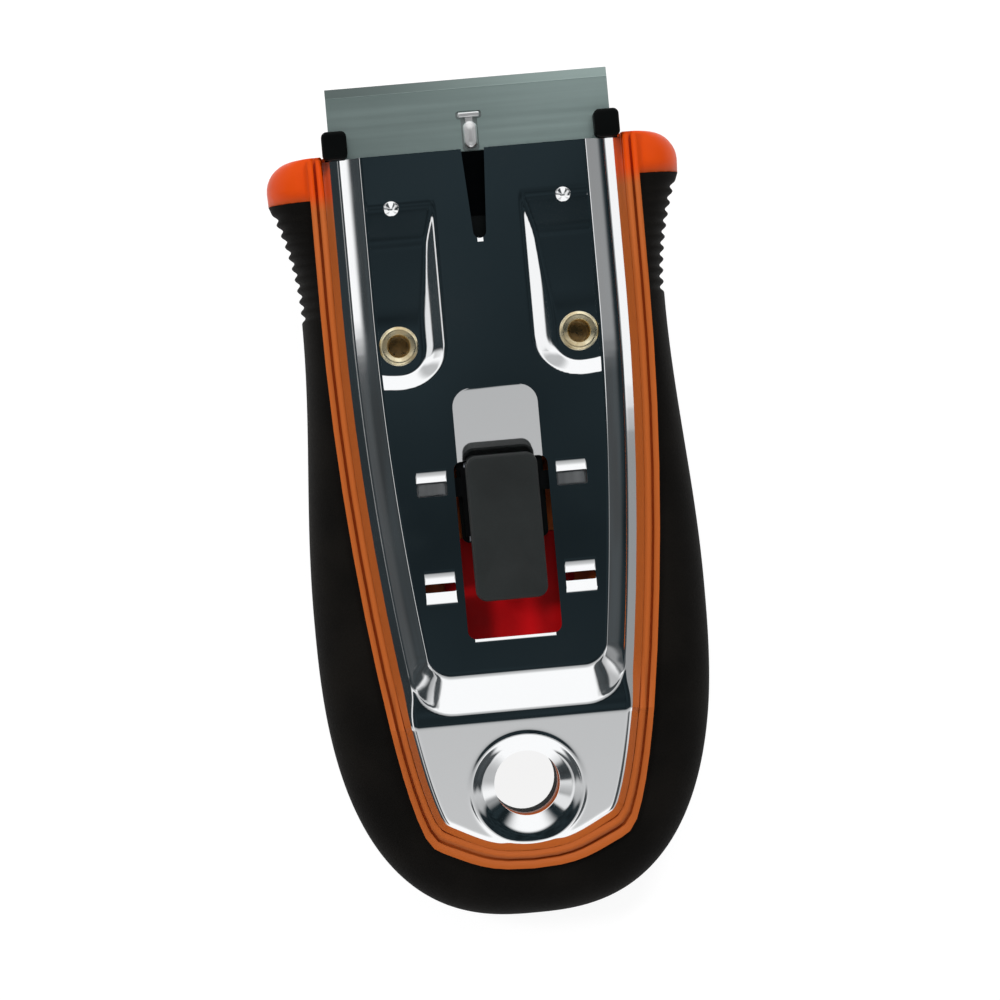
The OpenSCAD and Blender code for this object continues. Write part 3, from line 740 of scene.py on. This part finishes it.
# %% Distance to an outline
def outline_distance(x, y, outline):
    """Distance from points to a closed outline, positive inside it: the least over its edges."""
    best, inside = np.full(x.shape, np.inf), np.zeros(x.shape, bool)
    for (ax, ay), (bx, by) in zip(outline, np.roll(outline, -1, 0)):
        dx, dy = bx - ax, by - ay
        t = np.clip(((x - ax) * dx + (y - ay) * dy) / max(dx * dx + dy * dy, TINY), 0, 1)
        best = np.minimum(best, np.hypot(x - ax - t * dx, y - ay - t * dy))
        inside ^= ((ay > y) != (by > y)) & (x < ax + (y - ay) * dx / (dy if dy else TINY))
    return np.where(inside, best, -best)


middle = outline_distance(np.zeros(1), np.zeros(1) + BORE_Y, hang_bore)
print("from the middle of the hanging hole to its edge:", round(middle[0], 2))

# %% Outlines of the cover
PLATE_INSET, BEYOND, SIDE_LEAN = 2.05, 20, 8


def plate_half(y):
    """Half width of the cover, inside the rim."""
    return rim_half(y) - PLATE_INSET


def mirrored(right_side):
    """A right-hand line and its mirror image as one closed outline, anticlockwise."""
    return np.concatenate([right_side[::-1] * [-1, 1], right_side])[::-1]


def cover_outline(front=PLATE_FRONT, steps=24, tail_steps=60):
    """The cover's edge: level along the rim, then the rim's own arched curve round the tail."""
    y = np.linspace(front, HIP_Y, steps)
    level = np.stack([plate_half(y), y], -1)
    tail = arched_tail(np.linspace(0, 1, tail_steps + 1)[1:], PLATE_INSET)
    return mirrored(np.concatenate([level, tail]))


def panel_outline(inset, back, corner, steps=40):
    """An edge of the raised panel: parallel to the cover's edge, with rounded rear corners."""
    y = np.linspace(PLATE_FRONT + BEYOND, back + corner, steps)
    side = np.stack([plate_half(y) - inset, y], -1)
    turn = arc_points(side[-1, 0] - corner, back + corner, corner, -SIDE_LEAN, -90, 10)
    return mirrored(np.concatenate([side, turn]))


print("cover", round(2 * plate_half(PLATE_FRONT), 2), "mm wide in front")

# %% [markdown]
# The panel's wall runs between two outlines, a foot and a crest. The share of the way from one
# to the other is a ratio of distances, so one formula gives the steep sides and the long rear
# slope alike.

# %% Height of the wells
WELL_DEPTH, WELL_RADIUS, WELL_EDGE, WELL_FRONT, WELL_STEP = 1.2, 3.7, 6.4, 36.4, 5.55
WELL_FLOOR = PANEL_TOP - WELL_DEPTH
RAMP_SLOPE, FRONT_SLOPE = 0.05, 0.085
WALL_SLOPE, WALL_EASE, WALL_BREAK = 0.455, 0.11, 1.7
OUTER_SHARE, REAR_PULL, REAR_STEEP = 0.55, 0.6, 0.9
RAMP_ROUND, FRONT_ROUND, BREAK_ROUND, FLOOR_ROUND = 2, 1, 0.3, 0.15
NO_WELL = PANEL_TOP + 5


def ease(t, f):
    """A straight ramp from 0 to 1 with parabolic ends over a share f at each end."""
    t = np.clip(t, 0, 1)
    low, high = t * t / (2 * f), 1 - f - (1 - t) ** 2 / (2 * f)
    return np.where(t < f, low, np.where(t > 1 - f, high, t - f / 2)) / (1 - f)


def well_height(x, y):
    """A well round each rivet: the higher of a floor that ramps up to the front and a wall.

    The wall falls from the well's edge at WALL_SLOPE as far as WALL_BREAK, and then less steeply by
    WALL_EASE. Behind the rivet it is drawn in and steeper. The ramp steepens beyond the well's
    front, and the outer side is a plain step.
    """
    ahead = above_zero(y - RIVET_Y - WELL_RADIUS, RAMP_ROUND)
    floor = WELL_FLOOR + RAMP_SLOPE * ahead + FRONT_SLOPE * above_zero(y - WELL_FRONT, FRONT_ROUND)
    beside = np.abs(x) - RIVET_X
    beside = np.where(beside > 0, OUTER_SHARE * beside, beside)
    behind = np.minimum(0, y - RIVET_Y)
    beside = np.where(behind < 0, beside, np.minimum(beside, 0))
    away = np.hypot(beside, behind)
    rear = (behind / np.maximum(away, TINY)) ** 2
    inside = (WELL_EDGE - REAR_PULL * rear - away) * (1 + REAR_STEEP * rear)
    wall = PANEL_TOP - WALL_SLOPE * inside + WALL_EASE * above_zero(inside - WALL_BREAK, BREAK_ROUND)
    well = smooth_max(floor, wall, FLOOR_ROUND)
    return np.where(plate_half(y) - np.abs(x) < WELL_STEP, NO_WELL, well)


print("wells go down to", round(WELL_FLOOR, 2))

# %% Height of the panel, the dish and the rolled edge
FOOT_INSET, FOOT_CORNER, CREST_INSET, CREST_CORNER = 2.2, 6.0, 5.4, 3.0
PANEL_BACK, SLOPE_LENGTH, WALL_BOW, WALL_ENDS = -29.4, 5.8, 0.1, 0.12
FLANGE_LIFT, LIFT_RUN, LIFT_ENDS = 0.22, 6, 0.4
WELL_ZONE, CREASE = (RIVET_Y - 8, WELL_FRONT + 9), 0.1
DISH_Y, DISH_RADIUS, DISH_SLOPE, DISH_LIP, DISH_ROUND = HANG_Y - 0.5, 7.8, 0.43, 0.8, 0.9
BEAD_HEIGHT, BEAD_WIDTH = 0.11, 0.4
ROLL_SLOPE, TAIL_ROLL, PANEL_ROLL, ROLL_ROUND = 0.46, 1.4, 1.0, 0.4


def ahead_of_bend(y):
    """0 behind the bend, easing to 1 from LIFT_RUN ahead of it."""
    return ease((y - BEND_Y) / LIFT_RUN, LIFT_ENDS)


def dish_drop(r):
    """Depth of the dish at radius r: a low bead, a rolled lip, then a cone down to the hole."""
    bead = BEAD_HEIGHT * np.exp(-(((r - DISH_RADIUS) / BEAD_WIDTH) ** 2))
    return DISH_SLOPE * above_zero(DISH_RADIUS - DISH_LIP - r, DISH_ROUND) - bead


def cover_height(x, y):
    """Height of the cover's upper face before the tail is bent down and its edge rolled."""
    foot = outline_distance(x, y, panel_outline(FOOT_INSET, PANEL_BACK, FOOT_CORNER))
    crest = outline_distance(x, y, panel_outline(CREST_INSET, PANEL_BACK + SLOPE_LENGTH, CREST_CORNER))
    climbed, left_over = np.maximum(foot, 0), np.maximum(-crest, 0)
    share = climbed / np.maximum(climbed + left_over, TINY)
    base = FLANGE_TOP + FLANGE_LIFT * ahead_of_bend(y)
    z = base + (PANEL_TOP - base) * ease(share * (1 + WALL_BOW - WALL_BOW * share), WALL_ENDS)
    in_wells = (y > WELL_ZONE[0]) & (y < WELL_ZONE[1])
    z = np.where(in_wells, smooth_min(z, well_height(x, y), CREASE), z)
    return z - dish_drop(np.hypot(x, y - DISH_Y))


def edge_roll(x, y):
    """How far the cover's edge rolls down: an even slope, wider along the panel than round the tail."""
    from_edge = outline_distance(x, y, cover_outline(PLATE_FRONT + BEYOND / 2))
    reach = TAIL_ROLL + PANEL_ROLL * ahead_of_bend(y)
    return ROLL_SLOPE * above_zero(reach - np.maximum(from_edge, 0), ROLL_ROUND)


print("panel stands", round(PANEL_TOP - FLANGE_TOP, 2), "mm over the flange")

# %% [markdown]
# The grid's columns follow the cover's taper and crowd together at the side walls and the wells.
# Its rows crowd where the die has detail. The lower face is every second point, a sheet's
# thickness down, so the number of rows has to be odd.

# %% Grid of the cover
def knots(*spans):
    """Values along a line made of (start, end, step) spans."""
    parts = [np.linspace(a, b, max(2, int(round(abs(b - a) / step)) + 1))[:-1] for a, b, step in spans]
    return np.append(np.concatenate(parts), spans[-1][1])


LAST_ROW = -50.5
rows_y = knots(
    (48.5, 39, 0.5), (39, 27, 0.3), (27, 17.5, 0.2), (17.5, 5, 0.25), (5, -19, 1),
    (-19, -29.4, 0.3), (-29.4, -31.4, 0.125), (-31.4, -49, 0.22), (-49, -50.2, 0.3),
)
near_edge = knots(
    (-0.1, 1.9, 0.14), (1.9, 2.9, 0.1), (2.9, 4.8, 0.2),
    (4.8, 5.54, 0.12), (5.54, 5.56, 0.02), (5.56, 5.9, 0.17),
)
inner = knots((1, 0.5, 0.0135), (0.5, 0, 0.016))
rows_y = rows_y if len(rows_y) % 2 else np.append(rows_y, LAST_ROW)
half = plate_half(rows_y)[:, None]
right_x = np.concatenate([half - near_edge[None, :-1], (half - near_edge[-1]) * inner[None]], 1)
grid_x = np.concatenate([-right_x[:, :-1], right_x[:, ::-1]], 1)
grid_y = np.repeat(rows_y[:, None], grid_x.shape[1], 1)
grid_z = cover_height(grid_x, grid_y)
rolled_z = grid_z - edge_roll(grid_x, grid_y)
print("cover grid", grid_x.shape)


# %% Closed sheet
def sheet_solid(name, x, y, top, under):
    """A closed sheet: the upper grid, every second point of the lower one, and a skirt of pentagons."""
    upper = np.stack([x, y, top], -1)
    lower = np.stack([x, y, under], -1)[::2, ::2]
    (rows, cols), (low_rows, low_cols) = x.shape, lower.shape[:2]
    start = rows * cols
    top_faces = grid_faces(rows, cols, flip=True)
    bottom_faces = grid_faces(low_rows, low_cols) + start
    number = np.arange(start).reshape(rows, cols)
    low_number = start + np.arange(low_rows * low_cols).reshape(low_rows, low_cols)
    edges = [
        (number[0], low_number[0]),
        (number[:, -1], low_number[:, -1]),
        (number[-1, ::-1], low_number[-1, ::-1]),
        (number[::-1, 0], low_number[::-1, 0]),
    ]
    skirt = [np.stack([u[:-2:2], u[1:-1:2], u[2::2], v[1:], v[:-1]], -1) for u, v in edges]
    faces = top_faces.tolist() + bottom_faces.tolist() + np.concatenate(skirt).tolist()
    return weld(mesh_object(name, np.concatenate([upper.reshape(-1, 3), lower.reshape(-1, 3)]), faces))


SCOOP_FRONT, SCOOP_BACK, SCOOP_HALF, SCOOP_DEPTH, SCOOP_CORNER = 15.6, -9.0, 5.9, 2.0, 2.6
SLOT_FRONT, SLOT_BACK, SLOT_HALF, SLOT_CORNER = 5.6, -19.0, 6.5, 1.2
SHEET, LEAST_SHEET, SCOOP_SIDE, SCOOP_END = 0.9, 0.35, 1.0, 2.0


def scoop_plane(y):
    """Height of the thumb scoop's floor, which falls evenly to the slot."""
    return PANEL_TOP - SCOOP_DEPTH * (SCOOP_FRONT - y) / (SCOOP_FRONT - SLOT_FRONT)


above_scoop = (grid_y > SLOT_FRONT - SCOOP_END) & (grid_y < SCOOP_FRONT + SCOOP_END)
above_scoop &= np.abs(grid_x) < SCOOP_HALF + SCOOP_SIDE
under_grid = np.where(above_scoop, np.minimum(grid_z, scoop_plane(grid_y)), grid_z) - SHEET
under_grid = np.minimum(under_grid, rolled_z - LEAST_SHEET)
cover = sheet_solid("stamped_cover", grid_x, grid_y, rolled_z, under_grid)
cut(cover, prism("edge", cover_outline(), *THROUGH), "INTERSECT")
print("sheet", SHEET, "mm thick:", len(cover.data.polygons), "faces")

# %% [markdown]
# The press also bends the edges of its openings down a little, so that they don't snag. Each
# such lip is a slope cut across the edge by a prism that lies along X.

# %% Scoop, slot and lock windows
LIP_TOP, LIP_SLOPE = 22.0, 0.6
WINDOW_X, WINDOW_HALF, WINDOW_CORNER = 9.7, 2.1, 0.3
FRONT_WINDOW, REAR_WINDOW = (2.1, 1.0, 0.9, 0.0), (-11.5, 0.6, 0.9, 1.2)
SLOT_LIP = (SLOT_BACK + 1, SLOT_BACK - 0.3, 20.6, 5.6)


def rear_lip(inner_y, outer_y, low, half_width):
    """Cuts a slope from the panel's level at outer_y down to low at inner_y, across the middle."""
    section = [[inner_y, LIP_TOP], [outer_y, LIP_TOP], [outer_y, PANEL_TOP], [inner_y, low]]
    return cut(cover, prism("lip", section, -half_width, half_width, along_x=True))


def window_lip(y, edge, width, left, right):
    """Cuts a slope from a window's edge out to the panel's level, ahead where width is positive."""
    low = PANEL_TOP - LIP_SLOPE * abs(width)
    outer = edge + width
    section = [[y, LIP_TOP], [y, low], [edge, low], [outer, PANEL_TOP], [outer, LIP_TOP]]
    return cut(cover, prism("lip", section[:: 1 if width > 0 else -1], left, right, along_x=True))


def lock_window(x, y, reach, front_width, rear_width):
    """Punches one window and bends down its front edge and, where it has a width, its rear edge."""
    left, right = x - WINDOW_HALF, x + WINDOW_HALF
    punch(cover, rounded(left, y - reach, right, y + reach, WINDOW_CORNER))
    window_lip(y, y + reach, front_width, left, right)
    if rear_width:
        window_lip(y, y - reach, -rear_width, left, right)


scoop = rounded(-SCOOP_HALF, SCOOP_BACK, SCOOP_HALF, SCOOP_FRONT, SCOOP_CORNER)
cut(cover, prism("scoop", scoop, scoop_plane(scoop[:, 1]), THROUGH[1]))
punch(cover, rounded(-SLOT_HALF, SLOT_BACK, SLOT_HALF, SLOT_FRONT, SLOT_CORNER))
rear_lip(*SLOT_LIP)
for side in (1, -1):
    for window in (FRONT_WINDOW, REAR_WINDOW):
        lock_window(side * WINDOW_X, *window)
print("after the windows:", len(cover.data.polygons), "faces")

# %% Dimples, rivet holes and front notch
DIMPLE_X, DIMPLE_Y, DIMPLE_RADIUS, DIMPLE_DEPTH = 11.9, 41.0, 1.1, 0.44
DIMPLE_POWER, DIMPLE_LIP, CLEAR_OUT, CLEAR_UP = 1.2, 0.05, 0.7, 0.5
RIVET_HOLE = 2.1
NOTCH_HALF, NOTCH_MOUTH, NOTCH_END, NOTCH_RADIUS = 1.6, 60, 37.0, 0.9
NOTCH_LIP = (36.5, 35.6, 20.5, 0.4)


def dimple_profile():
    """A guide dimple: a cone whose height grows as a power of the radius, and a crisp lip."""
    r = np.linspace(0, DIMPLE_RADIUS, 7)
    cup_z = PANEL_TOP - DIMPLE_LIP - DIMPLE_DEPTH * (1 - (r / DIMPLE_RADIUS) ** DIMPLE_POWER)
    lip_at, top = DIMPLE_RADIUS + DIMPLE_LIP, PANEL_TOP + CLEAR_UP
    beyond = [[lip_at, PANEL_TOP], [DIMPLE_RADIUS + CLEAR_OUT, top], [0, top]]
    return np.concatenate([np.stack([r, cup_z], -1), beyond])


for side in (1, -1):
    cut(cover, spun("dimple", dimple_profile(), side * DIMPLE_X, DIMPLE_Y))
    punch(cover, disc(side * RIVET_X, RIVET_Y, RIVET_HOLE))
notch_left = [[NOTCH_HALF, NOTCH_MOUTH], [-NOTCH_HALF, NOTCH_MOUTH], [-NOTCH_HALF, PLATE_FRONT]]
notch_arc = arc_points(0, NOTCH_END, NOTCH_RADIUS, 180, 360, 12)
punch(cover, np.concatenate([notch_left, notch_arc, [[NOTCH_HALF, PLATE_FRONT]]]))
rear_lip(*NOTCH_LIP)
print("after the notch:", len(cover.data.polygons), "faces")

# %% Bent tail and hanging hole
BEND_LENGTH, COVER_CREASE = 0.8, 32


def bend_tail(points):
    """Turns what lies behind the bend down with the tail, round a short arc."""
    radius = BEND_LENGTH / TAIL_TILT
    start = BEND_Y + BEND_LENGTH / 2
    s = np.maximum(0, start - points[:, 1])
    angle = np.minimum(s / radius, TAIL_TILT)
    past = np.maximum(0, s - BEND_LENGTH)
    height = points[:, 2] - FLANGE_TOP
    y = start - radius * np.sin(angle) - past * np.cos(angle) - height * np.sin(angle)
    z = FLANGE_TOP - radius * (1 - np.cos(angle)) - past * np.sin(angle) + height * np.cos(angle)
    bent = np.stack([points[:, 0], y, z], -1)
    return np.where(s[:, None] > 0, bent, points)


punch(reshape(cover, bend_tail), hang_bore)
dress(smooth(cover, COVER_CREASE), chrome, "handle", "bright_plate", "cover_plate")

# %% [markdown]
# ## Turned and moulded small pieces
# A rivet is a turned shape: one profile spun round its axis. The thumb button, the guide shoes
# and the key stud are moulded or pressed pads: a rounded rectangle that shrinks a little at each
# layer as its edge rolls over. One function makes each kind.

# %% Stacked outlines
LEAST_CORNER, TOP_RINGS, CROWN_POWER = 0.15, 12, 4


def stacked(name, box, corner, layers, crown=None):
    """Rounded rectangles drawn in by each layer's inset at its height, closed at both ends.

    crown(x, y) is added to the height of the last layer's inside, which shrinks to its middle.
    """
    x0, y0, x1, y1 = box
    rows = []
    for inset, z in layers:
        layer_corner = max(corner - inset, LEAST_CORNER)
        outline = rounded(x0 + inset, y0 + inset, x1 - inset, y1 - inset, layer_corner)
        rows.append(np.c_[outline, np.full(len(outline), z)])
    centre = np.array([(x0 + x1) / 2, (y0 + y1) / 2])
    flat, height = rows[-1][:, :2], layers[-1][1]
    for share in np.linspace(1, 0, TOP_RINGS + 1)[1:]:
        inner_xy = centre + (flat - centre) * share
        rise = crown(inner_xy[:, 0], inner_xy[:, 1]) * (1 - share**CROWN_POWER) if crown else 0
        rows.append(np.c_[inner_xy, height + rise + np.zeros(len(inner_xy))])
    foot = np.c_[np.tile(centre, (len(flat), 1)), np.full(len(flat), layers[0][1])]
    points = np.stack([foot, *rows])
    return weld(mesh_object(name, points, grid_faces(*points.shape[:2], wrap=True).tolist()))


def rolled(base_inset, top, radius, steps=6):
    """Layers of an edge that rolls over into a top with that radius."""
    a = np.linspace(0, np.pi / 2, steps + 1)
    return [(base_inset + radius * (1 - math.cos(t)), top - radius + radius * math.sin(t)) for t in a]


def on_side(box, side):
    """A right-hand box, or its mirror image where side is -1."""
    x0, y0, x1, y1 = box
    return (x0, y0, x1, y1) if side > 0 else (-x1, y0, -x0, y1)


print("a rolled edge has", len(rolled(0, 1, 0.5)), "layers")

# %% Brass rivets
RIVET_SEAT, HEAD_RADIUS, HEAD_THICK, HEAD_ROUND = 12.0, 3.1, 0.9, 0.25
SHANK_RADIUS, BORE_RADIUS, BORE_DEPTH, CURL_AT, CURL_RADIUS = 2.0, 1.4, 4.0, 2.25, 0.45
THROAT = np.array(
    [[1.65, 0.8], [1.48, 0.6], [BORE_RADIUS, 0.3], [BORE_RADIUS, -BORE_DEPTH], [0, -BORE_DEPTH]]
)
head_low = RIVET_SEAT - HEAD_THICK
rivet_profile = np.concatenate(
    [
        [[0, head_low]],
        arc_points(HEAD_RADIUS - HEAD_ROUND, head_low + HEAD_ROUND, HEAD_ROUND, -90, 0, 5),
        [[HEAD_RADIUS, RIVET_SEAT], [SHANK_RADIUS, RIVET_SEAT], [SHANK_RADIUS, WELL_FLOOR]],
        arc_points(CURL_AT, WELL_FLOOR + CURL_RADIUS, CURL_RADIUS, -90, 110, 14),
        THROAT + [0, WELL_FLOOR],
    ]
)
for side, node_name in ((1, "rivet_right"), (-1, "rivet_left")):
    rivet = spun("brass_" + node_name, rivet_profile, side * RIVET_X, RIVET_Y)
    dress(smooth(rivet), brass, "handle", "brass", node_name)

# %% Guide shoes over the blade's corners
SHOE_BOX, SHOE_LOW, SHOE_TOP = (17.15, 48.6, 20.65, 52.5), 18.0, 20.7
SHOE_CORNER, SHOE_ROLL = 0.8, 0.5
TONGUE_BOX, TONGUE_LOW, TONGUE_CORNER, TONGUE_LAP = (19.8, 43.5, 20.35, 51.7), 16.0, 0.1, 0.1
for side, node_name in ((1, "guide_shoe_right"), (-1, "guide_shoe_left")):
    shoe_layers = [(0, SHOE_LOW), *rolled(0, SHOE_TOP, SHOE_ROLL)]
    shoe = stacked(node_name + "_cap", on_side(SHOE_BOX, side), SHOE_CORNER, shoe_layers)
    tongue_layers = [(0, TONGUE_LOW), (0, SHOE_LOW + TONGUE_LAP)]
    tongue = stacked("tongue", on_side(TONGUE_BOX, side), TONGUE_CORNER, tongue_layers)
    cut(shoe, tongue, "UNION")
    dress(smooth(shoe), black, "handle", "black_plastic", node_name)

# %% Key stud
STUD_BOX, STUD_FOOT, STUD_SIDE, STUD_TOP = (-0.95, 48.7, 0.95, 52.5), 17.5, 18.5, 19.1
NECK_BOX, NECK_TOP = (-0.5, 51.8, 0.5, 53.4), 18.0
BAR_BOX, BAR_TOP, BAR_ROUND = (-1.5, 53.1, 1.5, 53.8), 18.3, 0.2
STUD_CORNER, STUD_ROLL, STUD_RISE, NECK_CORNER = 0.94, 0.5, 0.15, 0.1


def stud_crown(x, y):
    """A low parabola across the stud."""
    return STUD_RISE * (1 - x * x)


stud_layers = [(0, STUD_FOOT), (0, STUD_SIDE), *rolled(0, STUD_TOP, STUD_ROLL, steps=8)]
stud = stacked("bright_key_stud", STUD_BOX, STUD_CORNER, stud_layers, stud_crown)
neck = stacked("neck", NECK_BOX, NECK_CORNER, [(0, STUD_FOOT), (0, NECK_TOP)])
bar_layers = [(0, STUD_FOOT), *rolled(0, BAR_TOP, BAR_ROUND, steps=4)]
bar = stacked("bar", BAR_BOX, BAR_ROUND, bar_layers)
cut(cut(stud, neck, "UNION"), bar, "UNION")
dress(smooth(stud), stud_bright, "slide", "bright_steel", "key_stud")

# %% Thumb button
CAP_BOX, CAP_UNDER, CAP_TOP, CAP_CORNER = (-5.0, -13.9, 5.0, 6.2), 22.1, 25.1, 1.6
CAP_MIDDLE = (CAP_BOX[1] + CAP_BOX[3]) / 2
HOLLOW_RADIUS, HOLLOW_DEPTH, HOLLOW_HALF = 40.0, 0.7, 7.4
STEM_BOX, STEM_LOW, STEM_CORNER, STEM_LAP = (-4.6, -5.2, 4.6, 5.2), 19.4, 1.0, 0.3
CAP_DRAFT, CAP_ROLL = 0.15, 0.4


def thumb_hollow(x, y):
    """A shallow hollow across the cap: an arc of HOLLOW_RADIUS along the slide."""
    reach = np.minimum(np.abs(y - CAP_MIDDLE), HOLLOW_HALF)
    return HOLLOW_RADIUS - np.sqrt(HOLLOW_RADIUS**2 - reach**2) - HOLLOW_DEPTH


cap_side = [(0.3, CAP_UNDER), (0.05, CAP_UNDER + 0.2), (0, CAP_UNDER + 0.6)]
cap_layers = [*cap_side, *rolled(CAP_DRAFT, CAP_TOP, CAP_ROLL)]
button = stacked("thumb_button_cap", CAP_BOX, CAP_CORNER, cap_layers, thumb_hollow)
stem = stacked("stem", STEM_BOX, STEM_CORNER, [(0, STEM_LOW), (0, CAP_UNDER + STEM_LAP)])
cut(button, stem, "UNION")
dress(smooth(button), grey, "button", "button_plastic", "thumb_button")

# %% [markdown]
# ## Studio
# The tool lies on a pale floor under a dome with a long dark card overhead, across the tool, as
# photographers use for bright metal: flat plating mirrors the card and goes dark, while slopes
# that face the front or the back catch the white beyond the card's long edges. Long white
# strips at both sides draw the long highlights on the cover's walls. Two small dark cards behind
# keep the corners of the rear slope dark, and the dome's four corners are dimmed. Cards could be
# hung as planes, but as a formula of the direction they cost nothing and need no room.

# %% Directions on the dome
scene = bpy.context.scene
scene.view_settings.view_transform = "Standard"
world = bpy.data.worlds.new("studio")
scene.world = world
world.use_nodes = True
sky = Wire(world.node_tree)
direction = sky.node("TexCoord", out="Generated")
away_x, away_y, upward = (direction.axis(letter) for letter in "XYZ")


def tilt(sideways):
    """Angle from straight overhead towards one side, in degrees."""
    return sideways.maths("ARCTAN2", sideways, upward) * math.degrees(1)


def ramp(angle, stops):
    """A level that follows (degrees, level) stops along an angle wire."""
    grey_stops = [(degrees / 90, (level, level, level, 1)) for degrees, level in stops]
    return sky.node("ValToRGB", {"stops": grey_stops}, {"Fac": angle * (1 / 90)})


to_left, to_right = tilt(away_x * -1), tilt(away_x)
to_front, to_back = tilt(away_y), tilt(away_y * -1)
beside, along = away_x.absolute(), away_y.absolute()
print("dome measured")

# %% White beyond the long edges of the card, and the dark cards behind
BACK_STOPS, FRONT_EDGE = ((0, 0.0), (13, 0.0), (18, 0.40), (28, 0.58), (38, 1.0)), (10, 19)
open_ends = ((1 - beside.step(0.70, 0.80)) + along.step(0.30, 0.45)).least(1.0)
rear_cards = beside.step(0.26, 0.34) * to_back.step(27, 33) * (1 - to_back.step(54, 60))
rear_cards = rear_cards * (1 - beside.step(0.55, 0.65) * (1 - to_back.step(35, 39)))
back_light = open_ends * ramp(to_back, BACK_STOPS) * (1 - 0.95 * rear_cards)
front_light = open_ends * to_front.step(*FRONT_EDGE)
print("white from", BACK_STOPS[1][0], "degrees back and", FRONT_EDGE[0], "degrees forward")

# %% Strips at both sides
LEFT_STOPS = (
    (0, 0), (33, 0), (35, 0.8), (41, 0.8), (44, 0.012), (55, 0.012), (58, 0.03), (69, 0.03), (71, 0),
)
RIGHT_STOPS = ((0, 0), (43, 0), (46, 1), (56, 1), (59, 0))
far_back = (away_y * -1).step(0.2, 0.3)
left_low = between(away_y.step(0.016, 0.034) + far_back, 0.06, 1.0)
left_light = ramp(to_left, LEFT_STOPS) + to_left.step(69, 71.5) * left_low
right_mid = between(away_y.step(-0.03, 0.0) + far_back, 0.28, 0.95)
right_low = between(away_y.step(0.004, 0.016) + far_back, 0.05, 0.27)
right_light = ramp(to_right, RIGHT_STOPS) * right_mid
right_light = right_light + to_right.step(57, 62) * (1 - to_right.step(75, 77)) * right_low
side_light = left_light.most(right_light)
print("strips:", len(LEFT_STOPS), "stops on the left,", len(RIGHT_STOPS), "on the right")

# %% The card and the whole dome
CARD_DARK, CARD_LIGHT, WHITE = (0.007, 0.011, 0.013, 1), (0.018, 0.028, 0.033, 1), (1, 1, 1, 1)
dim_corners = beside.step(0.34, 0.58) * along.step(0.35, 0.55)
white_share = front_light.most(side_light.most(back_light)) * (1 - 0.5 * dim_corners)
card = noise(direction, scale=14, detail=3).step(0.3, 0.7).blend(CARD_DARK, CARD_LIGHT)
sky.join(white_share.blend(card, WHITE), world.node_tree.nodes["Background"].inputs["Color"])
print("dome of", len(world.node_tree.nodes), "nodes")

# %% Floor that reads as white and keeps a soft shadow
FLOOR_HALF, FLOOR_Z, FLOOR_GLOW = 3000.0, -0.1, 0.89
floor_material = bpy.data.materials.new("pale_floor")
floor_material.use_nodes = True
tree = floor_material.node_tree
tree.nodes.remove(tree.nodes["Principled BSDF"])
paper_wire = Wire(tree)
rays = ("Is Camera Ray", "Is Glossy Ray", "Is Transmission Ray")
camera_ray, glossy_ray, clear_ray = (paper_wire.node("LightPath", out=ray) for ray in rays)
seen = camera_ray.most(glossy_ray.most(clear_ray))
paper = paper_wire.node("BsdfDiffuse", None, {"Color": (0.8, 0.8, 0.8, 1)})
shadow_catcher = paper_wire.node("BsdfDiffuse", None, {"Color": (0.20, 0.20, 0.20, 1)})
glow = paper_wire.node("Emission", None, {"Color": WHITE, "Strength": FLOOR_GLOW})
white = paper_wire.node("AddShader", None, {0: shadow_catcher, 1: glow})
surface = paper_wire.node("MixShader", None, {0: seen, 1: paper, 2: white})
paper_wire.join(surface, tree.nodes["Material Output"].inputs["Surface"])
floor_square = np.array([[-1, -1, 0], [1, -1, 0], [1, 1, 0], [-1, 1, 0]]) * FLOOR_HALF + [0, 0, FLOOR_Z]
studio_floor = mesh_object("floor", floor_square, [[0, 1, 2, 3]])
studio_floor.data.materials.append(floor_material)
print("floor", 2 * FLOOR_HALF / 1000, "m")

# %% Soft key and fill
LAMPS = (("key", 1.2, (-0.36, 0.10, 0.50)), ("fill", 1.5, (0.24, 0.42, 0.42)))
LAMP_SIZE = 0.15
for lamp_name, power, spot in LAMPS:
    lamp = bpy.data.lights.new(lamp_name, "AREA")
    lamp.shape, lamp.size, lamp.energy = "DISK", LAMP_SIZE, power
    lit = bpy.data.objects.new(lamp_name, lamp)
    scene.collection.objects.link(lit)
    lit.location = spot
    lit.rotation_euler = (-lit.location).to_track_quat("-Z", "Y").to_euler()
    lit.visible_glossy = False
    print(lamp_name, "at", spot)

# %% [markdown]
# ## Camera
# The photograph looks nearly straight down from a little to the left, with the tool rolled a few
# degrees. The scale at the cover's level fixes the lens for a given distance.

# %% Camera
DISTANCE, ROLL, LEAN = 600.0, math.radians(5.1), math.radians(-2.4)
FRAME_WIDTH, TARGET, SENSOR = 138.1, Vector((-0.45, -0.15, 20.0)), 36.0
back = Vector((math.sin(LEAN), 0, 1)).normalized()
up = Vector((math.sin(ROLL), math.cos(ROLL), 0))
up = (up - back * up.dot(back)).normalized()
across = up.cross(back)
camera = bpy.data.objects.new("camera", bpy.data.cameras.new("camera"))
scene.collection.objects.link(camera)
facing = Matrix((across, up, back)).transposed().to_4x4()
camera.matrix_world = Matrix.Translation((TARGET + back * DISTANCE) * MM) @ facing
camera.data.sensor_width = SENSOR
camera.data.lens = SENSOR * DISTANCE / FRAME_WIDTH
camera.data.clip_start, camera.data.clip_end = 0.01, 20
scene.camera = camera
print("lens", round(camera.data.lens, 1))
